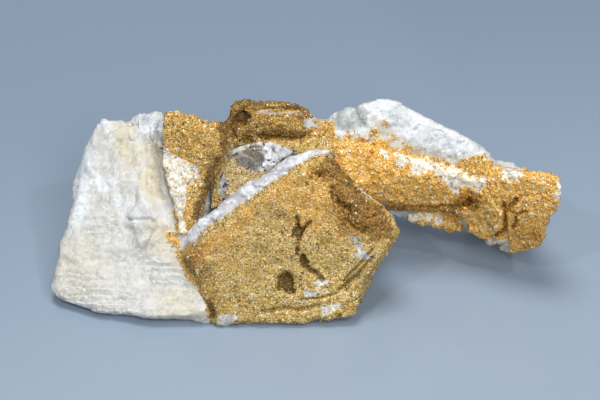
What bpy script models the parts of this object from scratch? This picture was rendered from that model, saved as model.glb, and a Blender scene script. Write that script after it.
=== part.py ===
"""Siderite on quartz: a loose mineral specimen about 93 mm long.

Three solids that grew together: the milky quartz matrix, the golden siderite
crust that coats it, and one clear quartz crystal in the pocket behind the
crusted plate.  +Z is up, +X runs along the length, and the show side faces -Y.
Lengths in the shape tables are millimetres.
"""
import math

import bmesh
import bpy
from mathutils import Matrix, Vector

MM = 0.001

# Driving sizes, in millimetres
GAP = 0.7                 # growth of a solid's copy that cuts its neighbour: thinned, it clears 0.3
VOXEL = 0.75              # grid on which blocks grow into one rock
TRIM = 0.2                # least clearance, cut where thinning has closed the gap
FINE_VOXEL = 0.42         # finer grid that closes the crust after its cuts
QUARTZ_FACES = 4600
CLEARANCE_FACES = 6000
CRUST_FACES = 4500
PLATE_CORE = (-4.6, -2.0)     # depth of the quartz blade inside the plate
PLATE_CRUST = (-2.9, 0.5)     # depth of the siderite skin on its face
SAIL_CORE = (-4.6, -1.9)
SAIL_CRUST = (-2.8, 0.4)
REST_CUT = 0.35           # how far the feet are ground flat
INTO_ROCK = (0.0, 0.9, -0.4)  # the way that clefts run in
PROUD = 0.2               # how far the lining of a pit or cleft stands out of its line

# A leaning sheet: (origin, turn about Z in degrees, upward lean in degrees)
PLATE_PLANE = ((-4.0, -16.5, 12.8), 0.0, 24.0)
SAIL_PLANE = ((-21.2, -5.1, 24.0), -11.0, 30.5)
FACE_PLANE = ((-33.0, -11.9, 10.5), -14.0, 47.0)

# Outlines on those sheets, as (along, up)
PLATE_EDGE = [
    (8.0, 18.9), (9.0, 16.4), (11.0, 13.4), (13.8, 11.7), (18.0, 8.3), (20.3, 5.1),
    (20.4, 3.6), (18.0, 1.0), (15.7, -2.5), (14.2, -5.0), (13.6, -8.8), (12.2, -11.5),
    (2.6, -12.8), (-4.3, -12.6), (-8.0, -12.4), (-11.7, -13.6), (-13.5, -11.7),
    (-15.0, -8.0), (-16.3, -3.0), (-18.5, 0.2),
]
FIN_EDGE = [
    (-18.4, 1.9), (-16.0, 5.9), (-13.7, 7.4), (-12.4, 8.8), (-9.0, 11.6), (-4.3, 13.9),
    (-2.0, 15.6), (2.0, 18.2), (4.5, 19.0), (7.8, 19.5),
]
SKIN_EDGE = [
    (-16.4, 1.4), (-14.5, 4.0), (-11.0, 6.5), (-7.4, 9.4), (-3.8, 11.7), (-0.2, 14.0),
    (2.6, 16.4), (5.4, 18.2),
]
SAIL_EDGE = [
    (-6.6, 9.4), (-3.0, 9.1), (0.8, 8.3), (3.0, 7.6), (4.6, 5.6), (4.0, 3.3), (1.8, 1.1),
    (0.8, -2.7), (0.8, -6.5), (0.3, -10.3), (0.2, -14.1), (-0.6, -15.4), (-1.7, -11.5),
    (-3.9, -4.3), (-5.0, 0.2),
]
SAIL_SKIN = [
    (-6.2, 9.2), (-3.0, 9.0), (0.8, 8.2), (3.6, 7.6), (6.4, 5.8), (5.2, 3.2), (2.0, 0.9),
    (0.7, -2.7), (0.5, -6.5), (0.1, -10.3), (0.2, -15.6), (-0.6, -15.4), (-1.8, -11.5),
    (-4.0, -4.3), (-5.2, 0.2),
]
FLAKE_EDGE = [(0.6, 10.2), (3.4, 9.0), (5.2, 5.5), (4.6, 1.8), (2.2, 1.2), (-0.6, 6.0)]

# Convex blocks of milky quartz, as corner points
LEFT_WEDGE = [
    (-47.2, -14.6, 3.2), (-45.8, -17.0, 2.4), (-38.1, -20.1, 2.4), (-28.8, -22.0, 2.8),
    (-18.6, -21.8, 3.4), (-43.5, -13.0, -0.3), (-36.0, -17.5, -0.3), (-27.0, -19.5, -0.3),
    (-17.0, -20.0, -0.3), (-46.6, -12.4, 6.2), (-44.7, -8.3, 9.8), (-42.2, -2.5, 15.2),
    (-41.0, 1.0, 19.0), (-40.4, 4.5, 22.5), (-38.9, 6.9, 25.3), (-34.8, 6.1, 25.4),
    (-31.1, 7.2, 26.6), (-25.5, 5.0, 27.0), (-21.5, -12.0, 11.3), (-16.5, -20.5, 3.0),
    (-41.5, 9.0, -0.3), (-21.0, 12.0, -0.3), (-39.5, 9.5, 20.0), (-24.5, 10.5, 22.0),
    (-45.0, -4.0, -0.3),
]
LEFT_LAYER = [
    (-43.4, -4.0, 12.0), (-43.8, -1.0, 15.0), (-42.8, 1.5, 18.0), (-41.2, 4.2, 21.3),
    (-39.0, 3.5, 20.8), (-39.5, -2.0, 16.2), (-42.0, 5.0, 12.0), (-39.0, 6.5, 19.0),
    (-40.0, -4.0, 13.6),
]
LEFT_KNOB = [
    (-40.4, 4.6, 23.4), (-39.4, 6.9, 26.4), (-37.3, 6.9, 26.5), (-36.3, 4.8, 25.2),
    (-39.4, 9.4, 22.0), (-36.5, 9.4, 22.0), (-38.0, 3.4, 23.0),
]
TOP_KNOB = [
    (-32.6, 5.2, 25.0), (-31.2, 7.4, 27.5), (-28.5, 7.2, 28.7), (-26.2, 5.2, 28.6),
    (-26.2, 2.5, 26.4), (-30.2, 2.6, 25.2), (-31.0, 10.4, 22.0), (-25.6, 9.6, 22.0),
]
TOP_RIDGE = [
    (-35.6, 5.6, 25.2), (-33.6, 6.2, 26.2), (-32.4, 4.6, 25.8), (-31.2, -1.0, 20.6),
    (-33.8, 0.0, 21.0), (-34.5, 3.0, 22.0), (-31.0, 2.0, 22.0),
]
SAIL_ROOT = [
    (-28.0, 2.0, 28.0), (-26.6, 1.5, 30.0), (-21.0, 0.5, 28.0), (-19.2, -2.0, 26.0),
    (-25.5, -9.5, 13.0), (-22.0, -13.0, 9.0), (-20.8, -11.0, 9.0), (-21.0, -3.0, 18.0),
    (-27.0, 9.0, 12.0), (-17.0, 8.0, 12.0), (-19.4, 3.4, 23.0), (-26.0, 6.0, 26.5),
    (-26.5, -10.0, 2.0), (-17.0, -15.0, 2.0),
]
FRONT_WEDGE = [
    (-24.5, -14.5, 8.6), (-20.6, -15.6, 8.4), (-19.8, -17.4, 6.0), (-18.2, -21.0, 1.6),
    (-17.4, -21.6, -0.3), (-22.5, -21.0, 2.6), (-24.0, -18.0, 5.6), (-19.0, -12.0, 4.0),
    (-23.0, -19.0, -0.3), (-15.5, -18.0, -0.3),
]
CORE = [
    (-18.0, -18.5, -0.3), (-6.0, -19.5, -0.3), (6.0, -17.5, -0.3), (10.0, -11.0, -0.3),
    (11.5, 6.5, -0.3), (9.0, 9.0, 4.0), (-19.0, 10.5, -0.3), (-17.5, -9.5, 8.0),
    (-15.0, -8.0, 15.0), (-9.0, -9.0, 19.5), (2.0, -9.5, 25.0), (6.5, -6.5, 24.0),
    (4.0, 2.0, 24.5), (-13.5, 5.5, 20.5), (2.0, 8.0, 22.0), (-14.0, 10.5, 14.0),
    (10.5, -9.0, 10.0),
]
BACK_RIDGE = [
    (-14.0, 7.0, 25.5), (-11.5, 7.8, 27.6), (-8.0, 8.4, 28.6), (-3.0, 7.6, 28.6),
    (0.8, 5.8, 27.6), (1.0, 2.5, 25.4), (-11.5, 5.0, 24.0), (-13.0, 11.0, 20.0),
    (1.5, 10.5, 20.0), (-12.0, 6.0, 15.0), (2.0, 4.0, 15.0),
]
SADDLE = [
    (-1.0, 5.4, 27.7), (2.2, 4.6, 27.8), (5.4, 5.2, 27.8), (-0.8, 2.4, 26.4), (5.6, 1.0, 26.2),
    (-0.5, 10.0, 21.0), (5.5, 10.0, 22.0), (0.0, 4.0, 20.0), (5.0, 2.0, 20.0),
]
ARM_LEFT = [
    (3.8, 5.0, 27.4), (7.0, 5.6, 29.9), (10.5, 5.2, 31.5), (14.0, 5.2, 32.6), (17.0, 4.6, 32.2),
    (20.5, 2.2, 30.6), (4.6, 0.6, 25.6), (9.5, 0.3, 25.8), (17.0, -0.8, 25.2), (22.5, -1.2, 24.6),
    (10.0, -3.0, 16.0), (16.5, -2.6, 13.8), (22.5, -2.4, 12.6), (11.0, -1.0, 10.5),
    (17.5, -1.6, 10.0), (23.0, -1.6, 8.8), (3.0, 9.0, 24.0), (14.0, 11.0, 27.0),
    (20.0, 9.0, 24.0), (4.0, 10.0, 6.0), (15.0, 11.0, 12.0), (22.0, 8.0, 12.0),
]
ARM_RIGHT = [
    (16.0, 4.8, 32.0), (20.5, 2.4, 30.8), (25.0, 0.4, 29.2), (29.5, -0.8, 27.7),
    (32.8, -2.6, 25.8), (34.0, -5.0, 24.6), (22.5, -1.4, 24.6), (28.0, -3.0, 23.6),
    (31.5, -3.8, 21.6), (22.0, -2.4, 12.8), (28.5, -3.0, 12.6), (22.5, -2.0, 8.8),
    (29.0, -3.2, 8.4), (20.0, 8.5, 25.0), (31.0, 5.5, 20.0), (20.0, 8.0, 12.0),
    (33.0, 4.0, 8.0), (35.0, 1.0, 19.0),
]
END_CORE = [
    (33.0, -5.4, 23.4), (36.0, -6.0, 24.6), (38.6, -6.6, 25.0), (44.4, -8.2, 24.8),
    (45.6, -9.8, 24.4), (45.4, -10.2, 19.5), (42.5, -9.5, 13.5), (38.6, -7.8, 7.8),
    (35.5, -7.2, 7.2), (32.0, -5.0, 8.6), (30.0, -3.4, 11.0), (33.0, 3.6, 18.5),
    (42.5, -2.0, 18.5), (41.0, -2.0, 8.0), (30.0, 4.0, 10.0), (37.0, 5.0, 9.0),
]
END_WINDOW = [
    (33.2, -6.6, 8.0), (35.6, -7.7, 7.0), (37.8, -8.7, 7.4), (37.2, -8.6, 9.2), (34.2, -7.3, 9.8),
    (34.0, -3.0, 7.0), (38.0, -4.0, 8.0), (36.0, -4.0, 12.0),
]
END_BACK = [
    (30.0, -1.0, 9.5), (41.0, -3.5, 10.0), (42.5, 0.5, 16.0), (29.0, 7.0, 12.0), (37.0, 6.5, 11.0),
    (31.0, 4.0, 7.0), (38.5, 2.0, 7.5), (33.0, 5.5, 18.5), (40.0, 2.5, 19.0),
]
BACK_FILL = [
    (-25.0, 11.2, -0.3), (-15.0, 11.2, -0.3), (-24.0, 9.5, 10.0), (-14.5, 9.8, 10.0),
    (-20.0, 12.8, 3.0), (-22.0, 5.0, 20.0), (-16.0, 5.0, 18.0), (-20.0, 4.0, -0.3),
]
BACK_STEP_LEFT = [
    (-39.0, 8.0, 2.0), (-37.0, 12.2, 4.5), (-29.0, 12.8, 3.0), (-27.5, 9.0, 1.5),
    (-36.5, 9.5, 15.0), (-31.0, 9.8, 17.0), (-34.0, 12.2, 9.0),
]
BACK_STEP_RIGHT = [
    (-11.0, 9.5, 3.0), (-8.0, 12.4, 5.0), (1.0, 12.0, 4.2), (4.5, 8.6, 2.5), (-6.5, 10.0, 15.0),
    (0.5, 9.5, 13.0), (-3.0, 12.4, 8.5),
]
TIP_SPLINTER = [
    (-13.4, -20.6, 0.4), (-12.0, -21.9, 0.2), (-9.6, -21.4, 0.6), (-8.8, -20.6, 2.4),
    (-11.0, -19.0, 3.0), (-13.0, -18.5, 1.6), (-10.5, -18.5, -0.3),
]

# The clear crystal: its broad upper face, its left flank, and its root in the rock
CLEAR_BLOCK = [
    (-15.9, -1.2, 24.2), (-14.2, -1.0, 25.4), (-10.7, -1.5, 27.0), (-8.3, -2.1, 27.8),
    (-5.9, -3.1, 28.3), (-3.8, -4.4, 28.2), (-1.6, -5.5, 28.4), (-8.3, -7.8, 22.2),
    (-13.3, -8.2, 18.8), (-16.6, -5.6, 19.5), (-17.6, -0.8, 21.0), (-18.6, -1.2, 18.7),
    (-19.5, -2.6, 16.0), (-19.9, -4.5, 13.5), (-20.4, -7.2, 11.2), (-19.6, -8.0, 12.2),
    (-14.0, 3.0, 20.0), (-6.0, 2.0, 22.0), (-3.0, -2.0, 22.0), (-10.0, -4.0, 15.0),
    (-17.0, 0.0, 14.0), (-18.5, -3.5, 9.5), (-15.0, -6.5, 12.0),
]

# Convex blocks of siderite crust
PLATE_FOOT = [
    (-14.0, -19.4, 3.0), (-9.0, -20.6, 3.2), (2.0, -20.4, 3.6), (10.5, -17.8, 6.0),
    (-13.0, -20.2, 0.9), (-8.0, -21.2, 0.5), (-1.5, -21.2, 0.6), (8.0, -18.8, 0.6),
    (10.6, -16.4, 2.0), (-12.0, -16.0, 0.9), (8.0, -14.0, 0.6),
]
PLATE_RIM = [
    (16.2, -14.2, 16.8), (16.4, -13.0, 15.4), (12.8, -15.4, 11.0), (10.4, -16.6, 7.5),
    (10.4, -15.6, 2.6), (9.0, -17.6, 1.4), (13.6, -9.5, 15.0), (10.0, -10.0, 4.0),
    (8.0, -12.0, 8.0), (6.0, -18.2, 5.5),
]
CLEFT_FLOOR = [
    (4.6, -5.6, 26.2), (8.0, -4.2, 20.0), (10.6, -3.2, 15.4), (13.0, -2.8, 11.4),
    (9.0, -9.0, 22.0), (14.5, -9.0, 12.0), (6.0, -9.0, 25.6), (2.0, -2.0, 23.0), (10.5, 1.0, 11.0),
    (12.0, -6.5, 9.8),
]
SAIL_TRIM = [
    (-27.0, 3.0, 30.0), (-26.2, 2.0, 32.2), (-20.0, 0.8, 31.8), (-15.0, -2.6, 29.4),
    (-14.2, -4.0, 28.4), (-20.0, 3.6, 29.0), (-14.6, 1.0, 26.6), (-26.0, 4.6, 28.6),
]
SAIL_LINK = [
    (-14.2, -3.6, 28.4), (-17.6, -4.2, 28.4), (-19.8, -2.0, 30.6), (-13.6, -1.6, 28.0),
    (-13.8, 2.0, 26.8), (-18.6, 3.4, 28.4), (-14.2, 4.8, 27.2), (-17.4, 5.4, 26.6),
    (-14.4, 2.6, 24.6), (-15.2, 4.4, 22.0), (-17.0, 5.0, 22.0),
]
HOLLOW_FLOOR = [
    (-22.8, -15.6, 12.6), (-22.6, -13.4, 10.2), (-20.4, -14.4, 12.6), (-20.0, -11.0, 14.0),
    (-23.0, -9.0, 13.6), (-19.0, -8.0, 9.0), (-22.0, -13.0, 8.0),
]
LEDGE_BACK = [
    (-14.6, 5.4, 26.2), (-14.0, 7.2, 27.2), (-11.5, 7.4, 28.2), (-7.6, 8.0, 30.1),
    (-3.0, 7.2, 30.0), (0.0, 6.0, 29.4), (1.2, 4.8, 28.0), (-13.6, 9.6, 24.0),
    (1.0, 9.4, 25.0), (-8.0, 10.6, 26.5), (-12.6, 6.2, 25.0), (0.0, 4.5, 26.0),
]
LEDGE_SHELF = [
    (-12.0, 5.6, 27.6), (-8.5, 5.0, 28.2), (-3.0, 3.6, 28.2), (0.5, 2.6, 27.2),
    (-1.5, 2.6, 24.8), (-6.0, 3.8, 24.2), (-10.5, 5.2, 24.4), (-11.0, 8.5, 23.0), (0.0, 8.0, 23.0),
]
LEDGE_LEFT = [
    (-15.2, 4.8, 26.2), (-14.2, 6.8, 27.3), (-12.6, 6.4, 27.7), (-12.0, 5.0, 26.0),
    (-14.8, 4.6, 22.0), (-12.0, 4.6, 22.0), (-13.0, 9.0, 21.0),
]
LOWER_SHELF = [
    (-14.0, 5.6, 21.6), (-10.0, 4.6, 22.8), (-4.0, 2.8, 24.0), (0.5, 1.2, 25.7),
    (4.2, 0.2, 26.8), (4.4, -3.2, 26.8), (-1.5, -1.2, 25.0), (-8.5, 2.6, 23.4),
    (-12.0, 7.0, 18.0), (4.0, 3.0, 20.0), (2.0, -5.0, 24.0),
]
BROWN_BIT = [
    (-17.8, 3.4, 26.6), (-16.0, 4.8, 27.0), (-14.6, 5.8, 26.4), (-14.8, 5.4, 23.0),
    (-17.4, 4.0, 23.0), (-16.0, 8.0, 22.0),
]
ARM_SKIN = [
    (4.6, -0.6, 26.8), (9.5, -0.8, 26.4), (14.0, -2.4, 24.0), (21.0, -3.2, 23.6),
    (27.5, -4.8, 23.0), (31.5, -5.6, 21.4), (7.0, -4.6, 21.0), (11.0, -4.6, 16.2),
    (14.5, -4.2, 14.2), (22.5, -4.0, 13.0), (28.5, -4.6, 13.6), (9.0, 0.0, 16.0),
    (22.0, 0.0, 14.0), (30.0, -1.0, 14.0), (6.0, 2.0, 24.0), (28.0, 0.0, 22.0),
]
ARM_SKIRT = [
    (12.4, -2.2, 11.2), (17.0, -3.2, 10.2), (23.0, -3.4, 8.6), (28.5, -4.2, 8.2),
    (14.0, -1.6, 13.0), (28.0, -3.0, 13.0), (14.0, 2.0, 9.4), (24.0, 2.0, 7.6), (29.5, 1.5, 6.5),
]
LUMP = [
    (28.5, -5.4, 19.6), (32.0, -6.4, 23.6), (33.4, -6.4, 24.8), (35.5, -7.2, 25.6),
    (38.5, -8.6, 26.0), (42.5, -10.4, 26.2), (44.6, -9.6, 26.6), (46.0, -11.4, 25.6),
    (46.0, -12.0, 22.8), (45.0, -12.4, 20.8), (43.6, -11.6, 17.0), (43.0, -11.5, 14.4),
    (35.0, -9.4, 19.0), (28.2, -5.0, 14.0), (28.6, -4.8, 11.4), (35.5, -8.6, 12.0),
    (44.5, -5.0, 21.0), (42.0, -3.6, 12.0), (30.0, -1.0, 12.0), (33.0, -2.0, 20.0),
]
LUMP_FOOT = [
    (28.8, -5.4, 12.0), (30.2, -6.4, 9.6), (33.0, -6.8, 9.0), (36.4, -8.2, 10.4),
    (43.6, -11.6, 14.6), (43.6, -11.4, 12.4), (41.2, -10.0, 8.6), (39.2, -9.3, 7.4),
    (38.0, -9.0, 8.2), (32.0, -1.0, 7.0), (41.5, -4.5, 8.0), (40.0, -2.5, 14.0), (29.5, -1.0, 10.0),
]
LUMP_FRINGE = [
    (35.0, -7.4, 6.8), (36.2, -8.3, 5.9), (37.8, -8.9, 6.2), (39.6, -9.4, 7.4), (39.0, -7.0, 7.2),
    (35.8, -6.0, 7.0),
]

# The hollow beside the sail runs along these lines, and crust lines it again
HOLLOW = [
    ((-15.2, 1.4, 25.4), (-19.2, -2.6, 20.6)),
    ((-19.2, -2.6, 20.6), (-22.2, -9.8, 11.8)),
]
HOLLOW_SIZE = (1.3, 4.6)      # width and depth
HOLLOW_LINING = 1.0           # crust on the walls of the hollow
LINING = 1.6                  # crust around every pit and cleft
# Pits in the crust: (centre, radius)
PITS = [
    ((-1.6, -15.2, 17.5), 1.5), ((-4.0, -19.3, 8.6), 2.0), ((-0.7, -17.6, 12.2), 1.2),
    ((2.0, -10.9, 27.0), 1.2), ((29.2, -7.0, 17.5), 1.8), ((-11.7, 6.0, 27.4), 1.5),
    ((-14.0, 3.4, 24.6), 1.7), ((-8.8, 3.2, 24.6), 1.2),
]
# Open clefts in the crust: (one end, other end, width, depth)
CLEFTS = [
    ((4.2, -12.0, 24.4), (7.4, -13.4, 21.0), 0.9, 3.0),
    ((7.0, -13.8, 20.2), (10.6, -15.0, 17.4), 0.9, 3.0),
    ((-1.8, -17.0, 13.2), (-1.5, -15.4, 17.0), 0.7, 2.6),
    ((35.8, -9.6, 19.4), (36.2, -8.2, 12.4), 0.7, 2.6),
    ((36.4, -8.4, 12.2), (33.6, -7.2, 9.8), 0.7, 2.6),
    ((-9.6, 4.0, 24.4), (-0.5, 1.5, 25.8), 1.1, 2.2),
]


def clear_scene():
    for obj in list(bpy.data.objects):
        bpy.data.objects.remove(obj, do_unlink=True)


def make_collection(name):
    group = bpy.data.collections.new(name)
    bpy.context.scene.collection.children.link(group)
    return group


def make_material(name, colour, roughness, transmission=0.0):
    mat = bpy.data.materials.new(name)
    mat.use_nodes = True
    shader = mat.node_tree.nodes["Principled BSDF"]
    shader.inputs["Base Color"].default_value = (*colour, 1.0)
    shader.inputs["Roughness"].default_value = roughness
    shader.inputs["Metallic"].default_value = 0.0
    shader.inputs["Transmission Weight"].default_value = transmission
    shader.inputs["IOR"].default_value = 1.545
    return mat


def new_object(name, mesh, group):
    obj = bpy.data.objects.new(name, mesh)
    group.objects.link(obj)
    return obj


def bake_modifiers(obj):
    """Apply the whole modifier stack and return the object."""
    bpy.context.view_layer.update()
    graph = bpy.context.evaluated_depsgraph_get()
    mesh = bpy.data.meshes.new_from_object(obj.evaluated_get(graph))
    mesh.name = obj.name
    obj.modifiers.clear()
    obj.data = mesh
    return obj


def sheet_matrix(plane):
    """Frame of a leaning sheet: X along, Y up the sheet, Z out of its face."""
    origin, turn, lean = plane
    turn, lean = math.radians(turn), math.radians(lean)
    out = Vector((math.sin(turn) * math.cos(lean), -math.cos(turn) * math.cos(lean), math.sin(lean)))
    along = Vector((math.cos(turn), math.sin(turn), 0.0))
    up = out.cross(along)
    matrix = Matrix((along, up, out)).transposed().to_4x4()
    return Matrix.Translation(Vector(origin) * MM) @ matrix


def slab(outline, depth, plane, group):
    """A flat outline with thickness: depth is (back, front) along the sheet's normal."""
    curve = bpy.data.curves.new("outline", "CURVE")
    curve.dimensions = "2D"
    curve.fill_mode = "BOTH"
    curve.extrude = (depth[1] - depth[0]) / 2 * MM
    line = curve.splines.new("POLY")
    line.points.add(len(outline) - 1)
    for point, (along, up) in zip(line.points, outline):
        point.co = (along * MM, up * MM, 0.0, 1.0)
    line.use_cyclic_u = True
    shape = new_object("outline", curve, group)
    middle = (depth[0] + depth[1]) / 2 * MM
    shape.matrix_world = sheet_matrix(plane) @ Matrix.Translation((0.0, 0.0, middle))
    bpy.context.view_layer.update()
    graph = bpy.context.evaluated_depsgraph_get()
    mesh = bpy.data.meshes.new_from_object(shape.evaluated_get(graph))
    mesh.transform(shape.matrix_world)
    bpy.data.objects.remove(shape, do_unlink=True)
    weld(mesh)
    return mesh


def weld(mesh):
    bm = bmesh.new()
    bm.from_mesh(mesh)
    bmesh.ops.remove_doubles(bm, verts=bm.verts, dist=0.00001)
    bmesh.ops.recalc_face_normals(bm, faces=bm.faces)
    bm.to_mesh(mesh)
    bm.free()


def block(corners):
    """A convex block with flat faces through the given corners."""
    bm = bmesh.new()
    for corner in corners:
        bm.verts.new(Vector(corner) * MM)
    hull = bmesh.ops.convex_hull(bm, input=bm.verts)
    spare = {item for item in hull["geom_interior"] + hull["geom_unused"]
             if isinstance(item, bmesh.types.BMVert)}
    bmesh.ops.delete(bm, geom=list(spare), context="VERTS")
    bmesh.ops.recalc_face_normals(bm, faces=bm.faces)
    mesh = bpy.data.meshes.new("block")
    bm.to_mesh(mesh)
    bm.free()
    return mesh


def clouds(name, size):
    texture = bpy.data.textures.new(name, "CLOUDS")
    texture.noise_scale = size * MM
    texture.noise_depth = 2
    return texture


def roughen(obj, texture, amount):
    """Push the surface in and out by up to half of amount."""
    waves = obj.modifiers.new("rough", "DISPLACE")
    waves.texture = texture
    waves.texture_coords = "GLOBAL"
    waves.strength = amount * MM
    waves.mid_level = 0.5


def one_skin(obj, voxel):
    """Remake a mesh as a single closed skin around all that it holds."""
    remesh = obj.modifiers.new("one skin", "REMESH")
    remesh.mode = "VOXEL"
    remesh.voxel_size = voxel * MM
    return bake_modifiers(obj)


def thin_to(obj, triangles):
    triangulate = obj.modifiers.new("triangles", "TRIANGULATE")
    triangulate.quad_method = "BEAUTY"
    bake_modifiers(obj)
    thin = obj.modifiers.new("fewer faces", "DECIMATE")
    thin.ratio = min(1.0, triangles / len(obj.data.polygons))
    return bake_modifiers(obj)


def grow_together(name, meshes, group, bumps):
    """Merge overlapping blocks into one rock with a broken, uneven surface."""
    bm = bmesh.new()
    for mesh in meshes:
        bm.from_mesh(mesh)
    joined = bpy.data.meshes.new(name)
    bm.to_mesh(joined)
    bm.free()
    rock = one_skin(new_object(name, joined, group), VOXEL)
    for texture, amount in bumps:
        roughen(rock, texture, amount)
    return bake_modifiers(rock)


def cut(obj, cutter):
    trim = obj.modifiers.new("cut", "BOOLEAN")
    trim.operation = "DIFFERENCE"
    trim.solver = "MANIFOLD"  # the exact solver loses parts of these dense meshes
    trim.object = cutter
    return bake_modifiers(obj)


def grown(obj, by, group):
    """A copy of a solid with every face pushed outwards."""
    copy = new_object(obj.name + "_clearance", obj.data.copy(), group)
    push = copy.modifiers.new("grow", "DISPLACE")
    push.strength = by * MM
    push.mid_level = 0.0
    return hide_cutter(bake_modifiers(copy))


def swollen(obj, group):
    """A rounded, wider copy of a solid, to cut its neighbour with."""
    return thin_to(one_skin(grown(obj, GAP, group), VOXEL), CLEARANCE_FACES)


def hide_cutter(obj):
    obj.hide_render = True
    obj.display_type = "WIRE"
    return obj


def keep_largest(obj):
    """Drop the loose crumbs that a cut leaves, and keep the main body."""
    bm = bmesh.new()
    bm.from_mesh(obj.data)
    left = set(bm.faces)
    islands = []
    while left:
        front = [left.pop()]
        island = list(front)
        while front:
            seams = [edge for edge in front.pop().edges if edge.is_manifold]
            for face in {face for edge in seams for face in edge.link_faces if face in left}:
                left.remove(face)
                front.append(face)
                island.append(face)
        islands.append(island)
    islands.sort(key=len)
    crumbs = [face for island in islands[:-1] for face in island]
    bmesh.ops.delete(bm, geom=crumbs, context="FACES")
    bm.to_mesh(obj.data)
    bm.free()


def grind_flat(obj, height):
    """Cut everything below a level away, and close the flat feet that it leaves."""
    bm = bmesh.new()
    bm.from_mesh(obj.data)
    whole = bm.verts[:] + bm.edges[:] + bm.faces[:]
    bmesh.ops.bisect_plane(bm, geom=whole, dist=0.000001, plane_co=(0.0, 0.0, height * MM),
                           plane_no=(0.0, 0.0, -1.0), clear_outer=True)
    rim = [edge for edge in bm.edges if edge.is_boundary]
    bmesh.ops.triangle_fill(bm, edges=rim, use_beauty=True, use_dissolve=False)
    bmesh.ops.recalc_face_normals(bm, faces=bm.faces)
    bm.to_mesh(obj.data)
    bm.free()


def ball(centre, radius):
    bm = bmesh.new()
    bmesh.ops.create_icosphere(bm, subdivisions=1, radius=radius * MM,
                               matrix=Matrix.Translation(Vector(centre) * MM))
    mesh = bpy.data.meshes.new("ball")
    bm.to_mesh(mesh)
    bm.free()
    return mesh


def bar(start, end, width, depth):
    """A straight bar along a line, with its depth going into the rock."""
    start, end = Vector(start) * MM, Vector(end) * MM
    along = (end - start).normalized()
    inward = Vector(INTO_ROCK)
    inward = (inward - along * along.dot(inward)).normalized()
    side = along.cross(inward)
    bm = bmesh.new()
    bmesh.ops.create_cube(bm, size=1.0)
    size = Matrix.Diagonal(((end - start).length, depth * MM, width * MM, 1.0))
    turn = Matrix((along, inward, side)).transposed().to_4x4()
    bm.transform(Matrix.Translation((start + end) / 2) @ turn @ size)
    bmesh.ops.recalc_face_normals(bm, faces=bm.faces)
    mesh = bpy.data.meshes.new("bar")
    bm.to_mesh(mesh)
    bm.free()
    return mesh


def hollow(margin=0.0):
    width, depth = HOLLOW_SIZE
    return [bar(*line, width + 2 * margin, depth + 2 * margin) for line in HOLLOW]


def openings(margin=0.0):
    """Solids of the pits and the clefts; a margin grows them into the rock."""
    shapes = []
    for centre, radius in PITS:
        shapes.append(sunk(ball(centre, radius + margin), radius + margin, margin))
    for start, end, width, depth in CLEFTS:
        grown = bar(start, end, width + 2 * margin, depth + 2 * margin)
        shapes.append(sunk(grown, depth / 2 + margin, margin))
    return shapes


def sunk(mesh, reach, margin):
    """Move a grown shape in, so that it stands only PROUD of its line."""
    if margin:
        inward = Vector(INTO_ROCK).normalized()
        mesh.transform(Matrix.Translation(inward * (reach - PROUD) * MM))
    return mesh


def cut_out(obj, shapes, group):
    for shape in shapes:
        cut(obj, hide_cutter(new_object("opening", shape, group)))


def build_quartz(parts, cutters):
    meshes = [block(corners) for corners in (
        LEFT_WEDGE, LEFT_LAYER, LEFT_KNOB, TOP_KNOB, TOP_RIDGE, SAIL_ROOT, FRONT_WEDGE, CORE,
        BACK_RIDGE, BACK_FILL, BACK_STEP_LEFT, BACK_STEP_RIGHT, SADDLE, ARM_LEFT, ARM_RIGHT,
        END_CORE, END_BACK, END_WINDOW, TIP_SPLINTER)]
    meshes.append(slab(PLATE_EDGE + FIN_EDGE, PLATE_CORE, PLATE_PLANE, cutters))
    meshes.append(slab(SAIL_EDGE, SAIL_CORE, SAIL_PLANE, cutters))
    meshes.append(slab(FLAKE_EDGE, (-1.0, 1.3), FACE_PLANE, cutters))
    bumps = ((clouds("swells", 11.0), 1.6), (clouds("breaks", 3.0), 0.9))
    quartz = grow_together("quartz_matrix", meshes, parts, bumps)
    cut_out(quartz, hollow(HOLLOW_LINING + GAP) + openings(LINING + GAP), cutters)
    thin_to(one_skin(quartz, VOXEL), QUARTZ_FACES)
    grind_flat(quartz, REST_CUT)
    keep_largest(quartz)
    quartz.data.materials.clear()
    quartz.data.materials.append(make_material("milky quartz", (0.80, 0.78, 0.72), 0.55))
    return quartz


def build_clear(parts, cutters, neighbours):
    crystal = new_object("clear_quartz", block(CLEAR_BLOCK), parts)
    cut_out(crystal, hollow(), cutters)
    for neighbour in neighbours:
        cut(crystal, neighbour)
    keep_largest(crystal)
    crystal.data.materials.clear()
    crystal.data.materials.append(make_material("clear quartz", (0.86, 0.84, 0.82), 0.05, 1.0))
    return crystal


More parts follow.
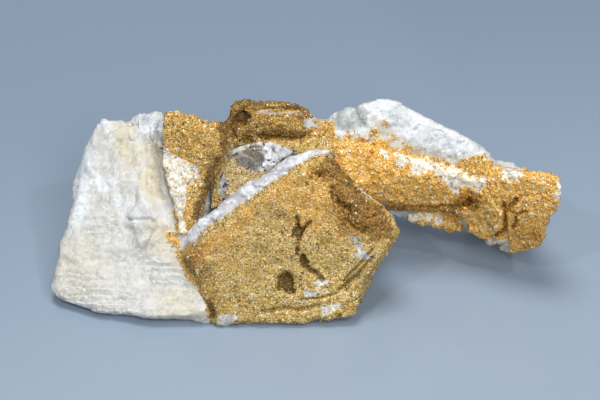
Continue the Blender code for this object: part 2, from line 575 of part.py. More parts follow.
def build_crust(parts, cutters, neighbours, quartz):
    meshes = [block(corners) for corners in (
        PLATE_FOOT, PLATE_RIM, CLEFT_FLOOR, SAIL_TRIM, SAIL_LINK, HOLLOW_FLOOR, LEDGE_BACK,
        LEDGE_SHELF, LEDGE_LEFT, LOWER_SHELF, BROWN_BIT, ARM_SKIN, ARM_SKIRT, LUMP, LUMP_FOOT,
        LUMP_FRINGE)]
    meshes += hollow(HOLLOW_LINING) + openings(LINING)
    meshes.append(slab(PLATE_EDGE + SKIN_EDGE, PLATE_CRUST, PLATE_PLANE, cutters))
    meshes.append(slab(SAIL_SKIN, SAIL_CRUST, SAIL_PLANE, cutters))
    bumps = ((clouds("lumps", 5.0), 0.9), (clouds("druse", 1.6), 0.5))
    crust = thin_to(grow_together("siderite_crust", meshes, parts, bumps), 2 * CRUST_FACES)
    cut_out(crust, hollow() + openings(), cutters)
    for neighbour in neighbours:
        cut(crust, neighbour)
    keep_largest(crust)
    thin_to(one_skin(crust, FINE_VOXEL), CRUST_FACES)
    grind_flat(crust, REST_CUT)
    cut(crust, grown(quartz, TRIM, cutters))
    keep_largest(crust)
    crust.data.materials.clear()
    crust.data.materials.append(make_material("siderite", (0.45, 0.28, 0.09), 0.4))
    return crust


def stand_on_base(objects):
    """Move all to the middle of their box in plan, with the feet at height zero."""
    points = [vert.co for obj in objects for vert in obj.data.vertices]
    low = Vector([min(point[axis] for point in points) for axis in range(3)])
    high = Vector([max(point[axis] for point in points) for axis in range(3)])
    shift = Matrix.Translation(-Vector(((low.x + high.x) / 2, (low.y + high.y) / 2, low.z)))
    for obj in objects:
        obj.data.transform(shift)


def main():
    clear_scene()
    parts = make_collection("siderite on quartz")
    cutters = make_collection("cutters")
    quartz = build_quartz(parts, cutters)
    room_for_quartz = swollen(quartz, cutters)
    crystal = build_clear(parts, cutters, [room_for_quartz])
    room_for_crystal = swollen(crystal, cutters)
    crust = build_crust(parts, cutters, [room_for_quartz, room_for_crystal], quartz)
    stand_on_base([quartz, crystal, crust])


main()
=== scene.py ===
"""Siderite on quartz: the dressed specimen, as an add-on of Blender 4.5.

Broken milky quartz, a druse of small golden siderite rhombs and one clear quartz crystal.
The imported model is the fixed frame; every piece here stays inside its box.
"""
import math
from functools import partial

import bmesh
import bpy
import numpy as np
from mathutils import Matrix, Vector
from mathutils.bvhtree import BVHTree


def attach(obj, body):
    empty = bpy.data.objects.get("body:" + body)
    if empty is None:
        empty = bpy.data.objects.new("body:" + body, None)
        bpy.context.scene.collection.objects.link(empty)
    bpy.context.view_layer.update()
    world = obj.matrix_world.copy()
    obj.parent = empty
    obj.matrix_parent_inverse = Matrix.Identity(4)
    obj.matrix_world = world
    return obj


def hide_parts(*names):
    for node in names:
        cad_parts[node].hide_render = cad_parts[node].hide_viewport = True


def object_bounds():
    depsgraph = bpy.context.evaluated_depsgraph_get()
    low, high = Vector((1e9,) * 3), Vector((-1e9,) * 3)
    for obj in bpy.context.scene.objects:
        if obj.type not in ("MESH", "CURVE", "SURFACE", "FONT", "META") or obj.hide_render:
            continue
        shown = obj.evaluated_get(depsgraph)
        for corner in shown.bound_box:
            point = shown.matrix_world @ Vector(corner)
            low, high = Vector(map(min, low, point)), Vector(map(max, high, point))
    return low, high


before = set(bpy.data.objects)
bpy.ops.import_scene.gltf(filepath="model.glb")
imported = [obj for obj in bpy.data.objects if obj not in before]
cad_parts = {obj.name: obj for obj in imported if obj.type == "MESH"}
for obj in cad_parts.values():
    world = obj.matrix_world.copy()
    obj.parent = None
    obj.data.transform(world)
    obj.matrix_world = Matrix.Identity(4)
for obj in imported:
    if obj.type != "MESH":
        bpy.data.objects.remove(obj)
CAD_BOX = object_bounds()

bl_info = {
    "name": "Siderite on Quartz",
    "version": (1, 0, 0),
    "blender": (4, 5, 0),
    "location": "3D View > Sidebar > Specimen",
    "description": "Dresses the siderite on quartz specimen and its stage",
    "category": "Add Mesh",
}

MM = 0.001
MERGE = 0.000002                     # corners closer than this are one (in metres)
TINY = 1e-9
LOW = np.array(CAD_BOX[0]) / MM      # the box's corners, in millimetres
HIGH = np.array(CAD_BOX[1]) / MM

# Places on the specimen, in millimetres.
BLOCK_EDGE = (16.0, 19.0)            # where the block on the left begins, left of the middle
BLOCK_TOP = (23.0, 26.0)             # height at which its top turns jagged
STEP_HEIGHT = 1.3                    # one step of its broken layers
PLATE_BACK = -6.5                    # the plate's crystals lie in front of this
FLOOR_GAP = 0.25                     # no crystals lower than this
BED_OVERLAP = 0.25                   # how far the crust's inner side sinks into the quartz

# The noises: what scatters their cells, how far a seed moves them, and how far from a
# cell's middle a knob reaches (squared, in cells).
KEYS = ((127.1, 311.7, 74.7), (269.5, 183.3, 246.1), (113.5, 271.9, 124.6))
SCATTER = 43758.5453
NOISE_SHIFT, FACET_SHIFT = 17.31, 11.7
KNOB_REACH = 0.55

# The crystals: where the model is cut off and how it is stretched and sunk, in edges, how
# their sizes spread, and the tones of dark, middle and light siderite, of the near-white crystals
# that are painted glints, and of rust.
TIP_CUT, TIP_STRETCH, TIP_DEPTH = 0.29, 1.3, 0.5
SIZE_SPREAD = 0.36
TONE_MARKS = (0.0, 0.45, 0.86, 1.0)
RUST_TONE = 0.26

# A lamp is (name, place, size, the setting with its power), in metres.
LAMPS = (("Key", (-0.03, 0.02, 0.56), 0.24, "key"), ("Back", (-0.10, 0.50, 0.42), 0.35, "back"),
         ("Front", (0.13, -0.47, 0.48), 0.34, "front"),
         ("Spark left", (-0.22, -0.28, 0.45), 0.03, "spark"),
         ("Spark right", (0.25, -0.20, 0.50), 0.03, "spark"))
LAMP_AIM = (0.0, 0.0, 0.012)

# The chart: where the show side's marks lie, in millimetres right of and above the
# middle, for an eye at a fixed place in front of and above the specimen.
CHART_MIDDLE = np.array((-0.64, 5.29, 11.65))
CHART_REACH = 480.0
CHART_TILT = math.radians(40.0)
EYE_WAY = np.array((0.0, -math.cos(CHART_TILT), math.sin(CHART_TILT)))
CHART_UP = np.array((0.0, math.sin(CHART_TILT), math.cos(CHART_TILT)))
EYE = CHART_MIDDLE + CHART_REACH * EYE_WAY

# Outlines, lines and marks on the chart are in tenths of a millimetre, the rest in
# millimetres.  A patch is (outline, soft edge, raggedness, strength).
TENTHS = 10.0

# Outlines that two tables share.
LOW_TIP = [(-155,-219), (-121,-211), (-116,-224), (-138,-239), (-153,-236)]
BLADE = [(-224,-80), (-191,-28), (-168,-21), (-159,-7), (-121,22), (-75,41), (-47,60), (-9,86),
         (19,92), (56,93), (60,77), (28,71), (0,52), (-28,28), (-65,6), (-103,-17), (-140,-45),
         (-178,-71), (-194,-97), (-217,-108)]
END_TIP = [(333,-75), (359,-71), (389,-71), (400,-93), (383,-105), (340,-101)]

# Patches and lines, by what they mark.
BARE_ON_CRUST = (
    ([(-265,150), (-254,150), (-250,101), (-243,88), (-228,79), (-213,75), (-207,64), (-213,45),
      (-209,19), (-213,-7), (-219,-26), (-213,-45), (-209,-64), (-215,-88), (-232,-93), (-247,-28),
      (-258,28), (-265,93)], 0.35, 0.45, 1.0),
    ([(-213,75), (-193,69), (-187,52), (-193,34), (-209,19), (-217,37)], 0.5, 0.7, 0.75),
    ([(93,-71), (112,-71), (123,-97), (138,-116), (116,-138), (90,-146), (101,-116),
      (97,-93)], 0.5, 1.6, 0.6),
    ([(22,-155), (34,-148), (52,-148), (52,-161), (34,-164)], 0.3, 0.4, 0.85),
    ([(6,-172), (75,-161), (79,-187), (47,-198), (0,-202)], 0.5, 1.4, 0.45),
    ([(-56,-187), (0,-176), (7,-191), (-37,-206)], 0.4, 1.2, 0.4),
    ([(37,-204), (56,-194), (77,-187), (80,-198), (60,-211), (41,-217)], 0.2, 0.4, 1.0),
    (LOW_TIP, 0.3, 0.4, 1.0),
    ([(479,52), (495,37), (497,7), (484,-11), (479,9), (480,32)], 0.3, 0.4, 1.0),
    ([(445,45), (480,49), (486,9), (464,-9), (449,15)], 0.8, 1.2, 0.4),
    ([(376,64), (402,64), (421,49), (407,37), (389,34), (376,47)], 0.2, 0.5, 1.0),
    ([(336,-79), (359,-75), (385,-69), (398,-88), (383,-101), (348,-99)], 0.3, 0.5, 1.0),
    ([(318,62), (346,65), (351,28), (333,17), (314,34)], 0.3, 0.8, 0.95),
    ([(75,116), (135,116), (178,108), (187,82), (135,82), (84,82)], 1.2, 2.4, 0.4),
    ([(159,112), (224,103), (277,86), (284,49), (224,52), (172,75)], 1.2, 2.4, 0.85),
    ([(254,86), (310,71), (340,30), (292,13), (254,41)], 1.2, 2.0, 1.0),
    ([(-86,168), (0,166), (26,153), (0,159), (-82,161)], 0.15, 0.2, 0.9),
    ([(172,-22), (234,-26), (292,-30), (284,-43), (187,-41)], 0.4, 0.9, 0.8),
)
GOLD_ON_QUARTZ = (
    ([(47,93), (65,112), (93,116), (135,107), (164,99), (187,90), (224,75), (262,56), (299,41),
      (336,34), (355,65), (379,56), (374,0), (56,52)], 1.2, 1.4, 0.9),
    ([(65,116), (121,150), (159,146), (196,123), (243,95), (290,90), (336,84), (355,56), (318,19),
      (56,71)], 1.5, 1.6, 0.33),
    ([(299,79), (344,86), (363,64), (350,45), (310,50), (293,64)], 0.5, 0.8, 0.95),
    ([(-247,-56), (-230,-64), (-224,-88), (-237,-88), (-249,-71)], 0.3, 0.4, 0.95),
    ([(-228,-90), (-206,-103), (-187,-150), (-176,-172), (-194,-168), (-213,-140),
      (-224,-116)], 0.5, 0.7, 0.8),
    ([(-213,-80), (-191,-22), (-181,65), (-138,112), (-71,107), (60,93), (62,146), (19,157),
      (0,187), (-125,176), (-163,146), (-181,93), (-209,-28)], 0.6, 0.8, 1.0),
    ([(155,0), (299,0), (314,-64), (150,-52)], 0.8, 1.2, 0.6),
    ([(370,65), (486,60), (497,0), (464,-97), (284,-60), (299,0)], 0.6, 0.8, 0.85),
)
BARE_ON_QUARTZ = (
    ([(-280,157), (-250,157), (-245,93), (-230,19), (-213,-67), (-222,-79), (-250,-45),
      (-269,56)], 0.5, 0.7, 1.0),
    (BLADE, 0.3, 0.2, 1.0),
    ([(0,157), (56,157), (60,135), (34,127), (4,135)], 0.8, 1.4, 0.6),
    ([(164,-21), (262,-22), (273,-41), (178,-41)], 0.5, 0.9, 0.8),
    ([(376,67), (404,67), (421,49), (404,36), (389,34), (374,45)], 0.3, 0.5, 1.0),
    (END_TIP, 0.3, 0.4, 1.0),
)
STAINED = (
    ([(-303,93), (-254,127), (-249,0), (-277,-11), (-303,34)], 1.8, 2.0, 0.75),
    ([(-280,-41), (-239,-49), (-202,-93), (-193,-120), (-239,-116), (-288,-86)], 1.6, 1.4, 0.7),
    ([(-348,142), (-307,135), (-295,71), (-325,60), (-351,93)], 1.4, 1.8, 0.65),
    ([(-262,-168), (-187,-168), (-164,-234), (-224,-234), (-280,-221)], 2.4, 2.0, 0.5),
    ([(-456,-103), (-393,-65), (-359,-116), (-396,-187), (-456,-187)], 2.6, 2.0, 0.3),
    ([(93,153), (135,164), (172,138), (183,112), (116,108), (84,127)], 1.5, 1.6, 0.5),
    ([(187,101), (303,75), (351,64), (348,19), (224,52)], 1.5, 1.6, 0.5),
    ([(-262,150), (-243,93), (-228,19), (-206,-75), (-232,-93), (-247,0),
      (-262,93)], 1.0, 1.0, 0.35),
)
GLASSY = (
    ([(-419,93), (-387,97), (-387,45), (-396,-4), (-407,-45), (-426,-45),
      (-419,19)], 1.4, 1.2, 0.65),
    ([(-381,153), (-351,150), (-359,127), (-379,129)], 0.9, 1.0, 0.6),
    ([(-310,142), (-295,164), (-250,157), (-247,120), (-280,120), (-299,127)], 1.2, 1.2, 0.7),
    ([(-389,45), (-348,41), (-344,19), (-381,11)], 1.2, 1.6, 0.55),
    ([(-351,7), (-299,0), (-303,-41), (-336,-34)], 1.4, 1.6, 0.4),
    ([(41,138), (71,176), (120,187), (138,164), (123,135), (71,123)], 1.6, 1.6, 0.9),
    ([(112,191), (187,194), (262,146), (329,108), (374,75), (318,75), (243,97), (187,123),
      (127,161)], 1.2, 1.4, 0.55),
    ([(0,161), (60,157), (64,131), (34,123), (4,131)], 0.8, 1.0, 0.8),
    ([(86,-67), (116,-67), (127,-97), (142,-116), (116,-142), (86,-146), (97,-116),
      (93,-93)], 0.5, 0.8, 0.8),
    ([(-7,-168), (75,-157), (82,-187), (47,-202), (-4,-206)], 0.6, 1.0, 0.8),
    (END_TIP, 0.3, 0.4, 0.9),
    (LOW_TIP, 0.3, 0.4, 0.8),
    ([(-172,93), (-176,37), (-187,-9), (-164,-9), (-146,37), (-159,84)], 0.5, 0.8, 0.7),
)
LILAC = (
    (BLADE, 0.3, 0.2, 1.0),
    ([(-172,-209), (-153,-202), (-142,-228), (-116,-221), (-120,-243),
      (-168,-243)], 0.4, 0.4, 0.8),
)
WARM = (
    ([(-71,19), (56,80), (84,32), (142,-7), (187,-56), (135,-71), (56,-60), (0,-60),
      (-28,-28)], 2.5, 2.4, 0.55),
    ([(295,-9), (355,67), (497,64), (497,-15), (458,-101), (336,-93)], 1.2, 1.2, 1.0),
    ([(56,112), (187,112), (374,56), (299,-60), (155,-22), (75,56)], 1.4, 1.4, 1.0),
    ([(-215,-105), (-181,-80), (-65,7), (56,80), (64,64), (-60,-9), (-178,-116),
      (-196,-127)], 0.8, 0.8, 0.5),
    ([(-153,-60), (-101,-67), (-112,-127), (-157,-135)], 2.0, 1.6, 0.2),
    ([(-265,172), (-127,179), (-93,198), (37,194), (67,131), (0,93), (-112,105), (-176,19),
      (-224,56), (-262,93)], 1.0, 1.6, 0.25),
    ([(-262,93), (-206,84), (-206,-75), (-234,-93)], 0.8, 1.0, 0.9),
)
COARSE = (
    ([(-19,65), (56,80), (84,32), (142,-7), (187,-56), (123,-75), (67,-49),
      (41,7)], 1.5, 1.2, 0.8),
    ([(56,150), (374,93), (495,56), (497,-93), (262,-75), (75,37)], 1.0, 1.0, 0.9),
    ([(-262,168), (-127,187), (22,191), (64,131), (0,93), (-135,108), (-187,0),
      (-262,0)], 1.0, 1.0, 0.7),
    ([(-71,-127), (0,-116), (84,-127), (116,-187), (75,-221), (-71,-236)], 1.6, 1.4, 0.6),
)
# Darker patches in clefts, valleys, pits and hollows, where shade falls: painted shade.
PAINTED_SHADE_PATCHES = (
    ([(-157,142), (-127,168), (-112,172), (-92,161), (-93,142), (-112,135), (-138,101), (-176,7),
      (-194,-67), (-209,-79), (-194,-9), (-176,52), (-146,97)], 0.5, 0.6, 1.0),
    ([(-112,135), (-71,131), (0,127), (0,116), (-71,108), (-112,108)], 0.6, 0.8, 0.8),
    ([(49,79), (64,75), (93,41), (123,4), (157,-15), (146,-26), (105,0), (75,34)], 0.4, 0.4, 0.9),
    ([(146,-4), (243,-9), (303,-7), (310,-22), (243,-26), (157,-22)], 0.5, 0.7, 0.7),
    ([(290,11), (318,19), (340,7), (336,-15), (303,-22), (288,-11)], 0.5, 0.6, 0.85),
    ([(-172,-183), (-159,-194), (-155,-221), (-164,-221), (-176,-198)], 0.3, 0.4, 0.9),
    ([(-213,-93), (-187,-86), (-179,-116), (-198,-131), (-213,-116)], 0.6, 0.8, 0.55),
    ([(-131,191), (37,191), (64,127), (0,108), (-127,108)], 1.0, 1.2, 0.6),
    ([(22,64), (56,79), (97,30), (157,-15), (183,-60), (131,-75), (75,-49),
      (56,19)], 1.0, 1.8, 0.8),
    ([(374,-60), (430,-49), (464,-37), (449,-93), (393,-75)], 1.0, 1.4, 0.4),
    ([(-187,-127), (-164,-116), (-146,-187), (-135,-224), (-157,-221),
      (-176,-172)], 1.0, 1.4, 0.3),
    ([(-262,168), (-127,168), (-127,93), (-187,60), (-262,93)], 1.0, 1.6, 0.35),
    ([(-125,194), (-71,198), (0,191), (26,164), (0,163), (-37,176), (-71,174),
      (-112,164)], 0.5, 0.7, 0.85),
    ([(-127,172), (-97,176), (-90,146), (-112,131), (-131,142)], 0.5, 0.7, 0.8),
    ([(-84,135), (0,133), (34,125), (0,118), (-71,114)], 0.4, 0.5, 0.9),
    ([(-45,-135), (-22,-127), (-7,-146), (-11,-168), (-30,-176), (-49,-161)], 0.8, 1.3, 0.5),
    ([(-13,-49), (-2,-41), (11,-60), (-2,-79), (-15,-67)], 0.4, 0.5, 0.6),
    ([(0,-105), (11,-108), (34,-135), (22,-142), (0,-127)], 0.5, 0.6, 0.5),
)
# A groove is (line, half width, depth).
GROOVES = (
    ([(58,13), (64,-2), (77,-6), (90,-11), (93,-24), (88,-36), (97,-47), (108,-54), (116,-62),
      (125,-54)], 0.32, 1.1),
    ([(107,-54), (107,-67)], 0.3, 0.9),
    ([(-6,-34), (-2,-52), (-13,-67)], 0.3, 1.1),
    ([(19,-41), (2,-58), (-2,-75), (-6,-103)], 0.28, 1.0),
    ([(6,-105), (7,-120), (17,-131), (30,-138), (41,-150)], 0.4, 1.2),
    ([(310,93), (333,75)], 0.3, 0.6),
    ([(379,-7), (383,-26), (385,-58)], 0.4, 1.4),
    ([(404,0), (396,-11), (387,-17)], 0.45, 1.4),
    ([(385,-58), (372,-65), (357,-73)], 0.45, 1.4),
    ([(404,-37), (398,-52)], 0.4, 1.2),
    ([(383,-22), (404,-26), (422,-22)], 0.3, 1.0),
    ([(75,-168), (97,-150), (116,-131), (135,-108)], 0.35, 0.8),
    ([(-71,-209), (-28,-202), (0,-206), (34,-198)], 0.35, 0.7),
    ([(159,-13), (196,-17), (243,-17), (295,-13)], 0.5, 0.9),
    ([(-90,170), (-47,172), (0,170)], 0.22, 0.6),
    ([(135,-93), (116,-116), (93,-138), (82,-153)], 0.25, 0.7),
    ([(84,-172), (97,-157), (112,-142)], 0.22, 0.6),
    ([(0,-187), (34,-183), (67,-176)], 0.22, 0.6),
)
# A hole is (middle, radius, depth).
HOLES = (
    ((-2,-58), 1.0, 1.3), ((-71,164), 0.5, 0.7), ((-45,164), 0.4, 0.6), ((-26,-150), 1.6, 1.7),
    ((-19,-170), 0.9, 1.1), ((-37,-163), 0.7, 0.9), ((9,-116), 0.7, 1.0), ((36,45), 0.42, 1.0),
    ((21,41), 0.45, 0.8), ((13,30), 0.4, 0.7), ((-107,155), 1.3, 1.8), ((-120,146), 0.8, 1.2),
    ((-54,-211), 0.5, 0.8), ((-39,-228), 0.55, 0.8), ((314,-4), 1.0, 1.2),
    ((-114,-189), 0.35, 0.7),
)
FLUTES = [(-383,140), (-252,140), (-243,-28), (-389,-28)]
FLAKE_LINE = [(-321,-37), (-280,-36), (-267,-52), (-280,-75), (-297,-101)]
GOLD_ON_CLEAR = (
    ([(-187,71), (-146,84), (-136,75), (-146,52), (-153,30), (-148,7), (-142,-11),
      (-191,-15)], 0.3, 0.4, 1.0),
    ([(-146,79), (-125,80), (-108,62), (-90,52), (-56,52), (-101,26), (-138,4), (-136,26),
      (-133,41), (-148,56)], 0.3, 0.5, 0.7),
)
FROSTED = (
    ([(-71,101), (-64,107), (-49,107), (-52,90), (-34,79), (-45,64), (-71,52), (-79,60),
      (-64,75)], 0.25, 0.3, 1.0),
    ([(-138,7), (-101,30), (-71,52), (-30,75), (-4,93), (4,86), (-26,60), (-67,37), (-101,15),
      (-135,-7)], 0.3, 0.5, 0.85),
    ([(-52,107), (-26,101), (-11,90), (-26,79), (-45,82)], 0.3, 0.4, 0.7),
    ([(-150,75), (-127,92), (-101,103), (-71,108), (-71,103), (-99,97), (-121,86),
      (-142,71)], 0.15, 0.2, 0.7),
    ([(-164,41), (-140,52), (-131,30), (-142,4), (-163,7)], 0.4, 0.5, 0.55),
    ([(-187,-11), (-176,56), (-150,90), (-112,108), (-64,116), (0,93), (-37,56),
      (-112,19)], 0.2, 0.2, 0.09),
)
STEPS = (
    ([(-404,-30), (-351,-41), (-348,-64), (-393,-64)], 0.8, 0.6, 1.0),
    ([(-290,-105), (-187,-116), (-179,-168), (-280,-157)], 1.2, 1.0, 0.9),
    ([(-449,-127), (-318,-179), (-299,-228), (-430,-198)], 1.6, 1.4, 0.6),
)


# ---- shapes in numbers

def dice_at(cells, key, shift):
    """A number from 0 to 1 for each cell that looks random but never changes."""
    return np.mod(np.sin(cells @ key + shift) * SCATTER, 1.0)


def soft_noise(points, size, seed):
    """Smooth random waves between -1 and 1 at the points, each about size across."""
    place = points / size + seed * NOISE_SHIFT
    corner = np.floor(place)
    part = place - corner
    part = part * part * (3.0 - 2.0 * part)
    total = np.zeros(len(points))
    for step in np.ndindex(2, 2, 2):
        near = np.abs(1 - np.array(step) - part)
        weight = near[:, 0] * near[:, 1] * near[:, 2]
        total += dice_at(corner + step, KEYS[0], seed * 5.17) * weight
    return total * 2.0 - 1.0


def rough_noise(points, size, seed, layers=3):
    """Layers of soft noise, each half the size and strength of the one before."""
    total = np.zeros(len(points))
    for layer in range(layers):
        total += soft_noise(points, size * 0.5 ** layer, seed + layer) * 0.5 ** layer
    return total / (2.0 - 0.5 ** (layers - 1))


def facets(points, size, seed):
    """Flat broken faces in random directions (-1 to 1), and rounded knobs (0 to 1)."""
    place = points / size + seed * FACET_SHIFT
    corner = np.floor(place)
    nearest = np.full(len(points), np.inf)
    height = np.zeros(len(points))
    for step in np.ndindex(3, 3, 3):
        cell = corner + np.array(step) - 1.0
        dice = np.stack([dice_at(cell, key, seed) for key in KEYS], axis=1)
        away = place - cell - dice
        reach = (away * away).sum(axis=1)
        closer = reach < nearest
        nearest[closer] = reach[closer]
        height[closer] = (away * (dice[:, (1, 2, 0)] * 2.0 - 1.0)).sum(axis=1)[closer]
    return height, np.clip(1.0 - nearest / KNOB_REACH, 0.0, 1.0)


def ramp(values, start, end):
    """Smooth step from 0 at start to 1 at end."""
    part = np.clip((values - start) / (end - start), 0.0, 1.0)
    return part * part * (3.0 - 2.0 * part)


def clumped(cover, points):
    """Break an even cover up into patches with ragged rims."""
    clumps = rough_noise(points, 2.0, 63)
    return ramp(cover + 0.55 * clumps, 0.36, 0.62) * ramp(cover, 0.03, 0.2)


def unit(ways):
    return ways / np.linalg.norm(ways, axis=1)[:, None]


def on_chart(points):
    """Where points (in mm) lie on the chart: mm right of and above its middle."""
    offset = points - EYE
    reach = -(offset @ EYE_WAY)
    return np.stack((offset[:, 0], offset @ CHART_UP), axis=1) * (CHART_REACH / reach)[:, None]


def to_segment(spots, start, end):
    """Distance from chart spots to a straight piece of a line."""
    along = end - start
    part = np.clip((spots - start) @ along / max(along @ along, TINY), 0.0, 1.0)
    return np.linalg.norm(spots - start - part[:, None] * along, axis=1)


def to_line(spots, line):
    """Distance from chart spots to an open line, or to a single mark."""
    line = np.array(line) / TENTHS
    if len(line) == 1:
        return np.linalg.norm(spots - line[0], axis=1)
    return np.min([to_segment(spots, a, b) for a, b in zip(line, line[1:])], axis=0)


def depth_inside(spots, outline):
    """Distance to a closed outline, positive inside it."""
    closed = [*outline, outline[0]]
    corners = np.array(closed) / TENTHS
    inside = np.zeros(len(spots), dtype=bool)
    for (ax, ay), (bx, by) in zip(corners, corners[1:]):
        crosses = (ay > spots[:, 1]) != (by > spots[:, 1])
        slope = (bx - ax) / ((by - ay) or TINY)
        inside ^= crosses & (spots[:, 0] < ax + slope * (spots[:, 1] - ay))
    return to_line(spots, closed) * np.where(inside, 1.0, -1.0)


def patch_cover(spots, waves, patches):
    """How strongly a group of patches covers each spot, from 0 to 1."""
    cover = np.zeros(len(spots))
    for outline, soft, ragged, strength in patches:
        depth = depth_inside(spots, outline) + ragged * waves
        cover = np.maximum(cover, strength * ramp(depth, -soft, soft))
    return cover


# ---- mesh handling

def select_only(*objects):
    bpy.ops.object.select_all(action="DESELECT")
    for obj in objects:
        obj.select_set(True)
    bpy.context.view_layer.objects.active = objects[0]


def read_vectors(items, key):
    values = np.empty(len(items) * 3)
    items.foreach_get(key, values)
    return values.reshape(-1, 3)


def read_skin(mesh):
    """The mesh's points in millimetres, and the way that each of them faces."""
    return read_vectors(mesh.vertices, "co") / MM, read_vectors(mesh.vertex_normals, "vector")


def write_points(mesh, points):
    """Move the mesh's points, none of them past the model's box."""
    mesh.vertices.foreach_set("co", (np.clip(points, LOW, HIGH) * MM).ravel())
    mesh.update()


def write_values(mesh, **values):
    """Give the mesh one attribute for each name, with a number for each point."""
    for name, numbers in values.items():
        layer = mesh.attributes.new(name, "FLOAT", "POINT")
        layer.data.foreach_set("value", np.ascontiguousarray(numbers, dtype=np.float32))


def value_of(mesh, name):
    """An attribute's numbers, or ones where the mesh has none of that name."""
    layer = mesh.attributes.get(name)
    values = np.ones(len(mesh.vertices), dtype=np.float32)
    if layer:
        layer.data.foreach_get("value", values)
    return values.astype(float)


def corners_of(mesh):
    """The three corners of each of the mesh's triangles."""
    mesh.calc_loop_triangles()
    return [tuple(tri.vertices) for tri in mesh.loop_triangles]


def add_object(name, data):
    obj = bpy.data.objects.new(name, data)
    bpy.context.scene.collection.objects.link(obj)
    return obj


def copy_of(node, name):
    """A copy of a CAD node, off its body and with its loose triangles joined."""
    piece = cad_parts[node].copy()
    piece.data = piece.data.copy()
    piece.name = piece.data.name = name
    piece.parent = None
    for key in list(piece.keys()):
        del piece[key]
    bpy.context.scene.collection.objects.link(piece)
    select_only(piece)
    bpy.ops.object.mode_set(mode="EDIT")
    bpy.ops.mesh.select_all(action="SELECT")
    bpy.ops.mesh.remove_doubles(threshold=MERGE)
    bpy.ops.object.mode_set(mode="OBJECT")
    return piece


def apply_modifier(piece, name, kind, **settings):
    """Add a modifier with these settings to the active piece, and apply it."""
    modifier = piece.modifiers.new(name, kind)
    for key, value in settings.items():
        setattr(modifier, key, value)
    bpy.ops.object.modifier_apply(modifier=modifier.name)


def skin_over(node, name, grid):
    """A fine closed skin over a copy of a CAD node, ready to be shaped."""
    piece = copy_of(node, name)
    apply_modifier(piece, "Fine skin", "REMESH", mode="VOXEL", voxel_size=grid,
                   use_smooth_shade=True)
    return piece


def wear(obj, material):
    obj.data.materials.clear()
    obj.data.materials.append(material)


def surface_tree(mesh):
    return BVHTree.FromPolygons([vert.co[:] for vert in mesh.vertices], corners_of(mesh))


def room_above(points, normals, tree, reach):
    """Free way from each point along its normal to another surface, up to reach (mm)."""
    free = np.full(len(points), reach)
    for index, (point, normal) in enumerate(zip(points, normals)):
        way = Vector(normal)
        hit = tree.ray_cast(Vector(point) * MM + way * 0.02 * MM, way, reach * MM)
        if hit[0] is not None:
            free[index] = hit[3] / MM
    return free


# ---- nodes

def feed(tree, node, inputs):
    """Set or link a node's sockets, from plain values or other nodes' outputs."""
    for key, value in inputs.items():
        if isinstance(value, bpy.types.NodeSocket):
            tree.links.new(value, node.inputs[key])
        else:
            node.inputs[key].default_value = value
    return node


def add_node(tree, kind, inputs=None, **settings):
    node = tree.nodes.new("ShaderNode" + kind)
    for key, value in settings.items():
        setattr(node, key, value)
    return feed(tree, node, inputs or {})


def own_value(tree, name):
    return add_node(tree, "Attribute", attribute_name=name).outputs["Fac"]


def place_of(tree):
    return add_node(tree, "TexCoord").outputs["Object"]


def math_of(tree, operation, first, second):
    return add_node(tree, "Math", {0: first, 1: second}, operation=operation).outputs[0]


def vector_of(tree, operation, inputs):
    return add_node(tree, "VectorMath", inputs, operation=operation).outputs[0]


def between(tree, value, low, high):
    """Smooth step from 0 at low to 1 at high."""
    return add_node(tree, "MapRange", {"Value": value, "From Min": low, "From Max": high},
                    interpolation_type="SMOOTHSTEP").outputs["Result"]


def carried(tree, value, low, high, start=0.0, end=1.0):
    """Carry a value that runs from start to end over to low to high."""
    return add_node(tree, "MapRange", {"Value": value, "From Min": start, "From Max": end,
                                       "To Min": low, "To Max": high}).outputs["Result"]


def opaque(colour):
    return colour if isinstance(colour, bpy.types.NodeSocket) else (*colour[:3], 1.0)


def mix_colour(tree, factor, first, second):
    return add_node(tree, "Mix", {0: factor, 6: opaque(first), 7: opaque(second)},
                    data_type="RGBA").outputs[2]


def colours_along(tree, value, colours):
    """A ramp through four colours: the darkest, the middle, the light and the near-white tip, a
    painted glint.
    """
    node = add_node(tree, "ValToRGB", {"Fac": value})
    marks = node.color_ramp.elements
    while len(marks) < len(colours):
        marks.new(0.5)
    for mark, place, colour in zip(marks, TONE_MARKS, colours):
        mark.position = place
        mark.color = opaque(colour)
    return node.outputs["Color"]


def noise_at(tree, place, size, detail=3.0):
    """Cloudy noise from 0 to 1, its clouds about size millimetres across."""
    return add_node(tree, "TexNoise", {"Vector": place, "Scale": 1.0 / (size * MM),
                                       "Detail": detail, "Roughness": 0.6}).outputs["Fac"]


def bumped(tree, height, strength, depth, **more):
    return add_node(tree, "Bump", {"Height": height, "Strength": strength, "Distance": depth * MM,
                                   **more}).outputs["Normal"]


def glint_group():
    """Small flat facets in random directions, which flash as the light catches them."""
    name = "Glints"
    if name in bpy.data.node_groups:
        return bpy.data.node_groups[name]
    group = bpy.data.node_groups.new(name, "ShaderNodeTree")
    for title, way, kind in (("Place", "INPUT", "Vector"), ("Scale", "INPUT", "Float"),
                             ("Amount", "INPUT", "Float"), ("Normal", "OUTPUT", "Vector")):
        group.interface.new_socket(title, in_out=way, socket_type="NodeSocket" + kind)
    entry, leave = group.nodes.new("NodeGroupInput"), group.nodes.new("NodeGroupOutput")
    cells = add_node(group, "TexVoronoi", {"Vector": entry.outputs["Place"],
                                           "Scale": entry.outputs["Scale"]})
    spread = vector_of(group, "SUBTRACT", {0: cells.outputs["Color"], 1: (0.5, 0.5, 0.5)})
    push = vector_of(group, "SCALE", {0: spread, "Scale": entry.outputs["Amount"]})
    facing = add_node(group, "NewGeometry").outputs["Normal"]
    tilted = vector_of(group, "ADD", {0: facing, 1: push})
    feed(group, leave, {"Normal": vector_of(group, "NORMALIZE", {0: tilted})})
    return group


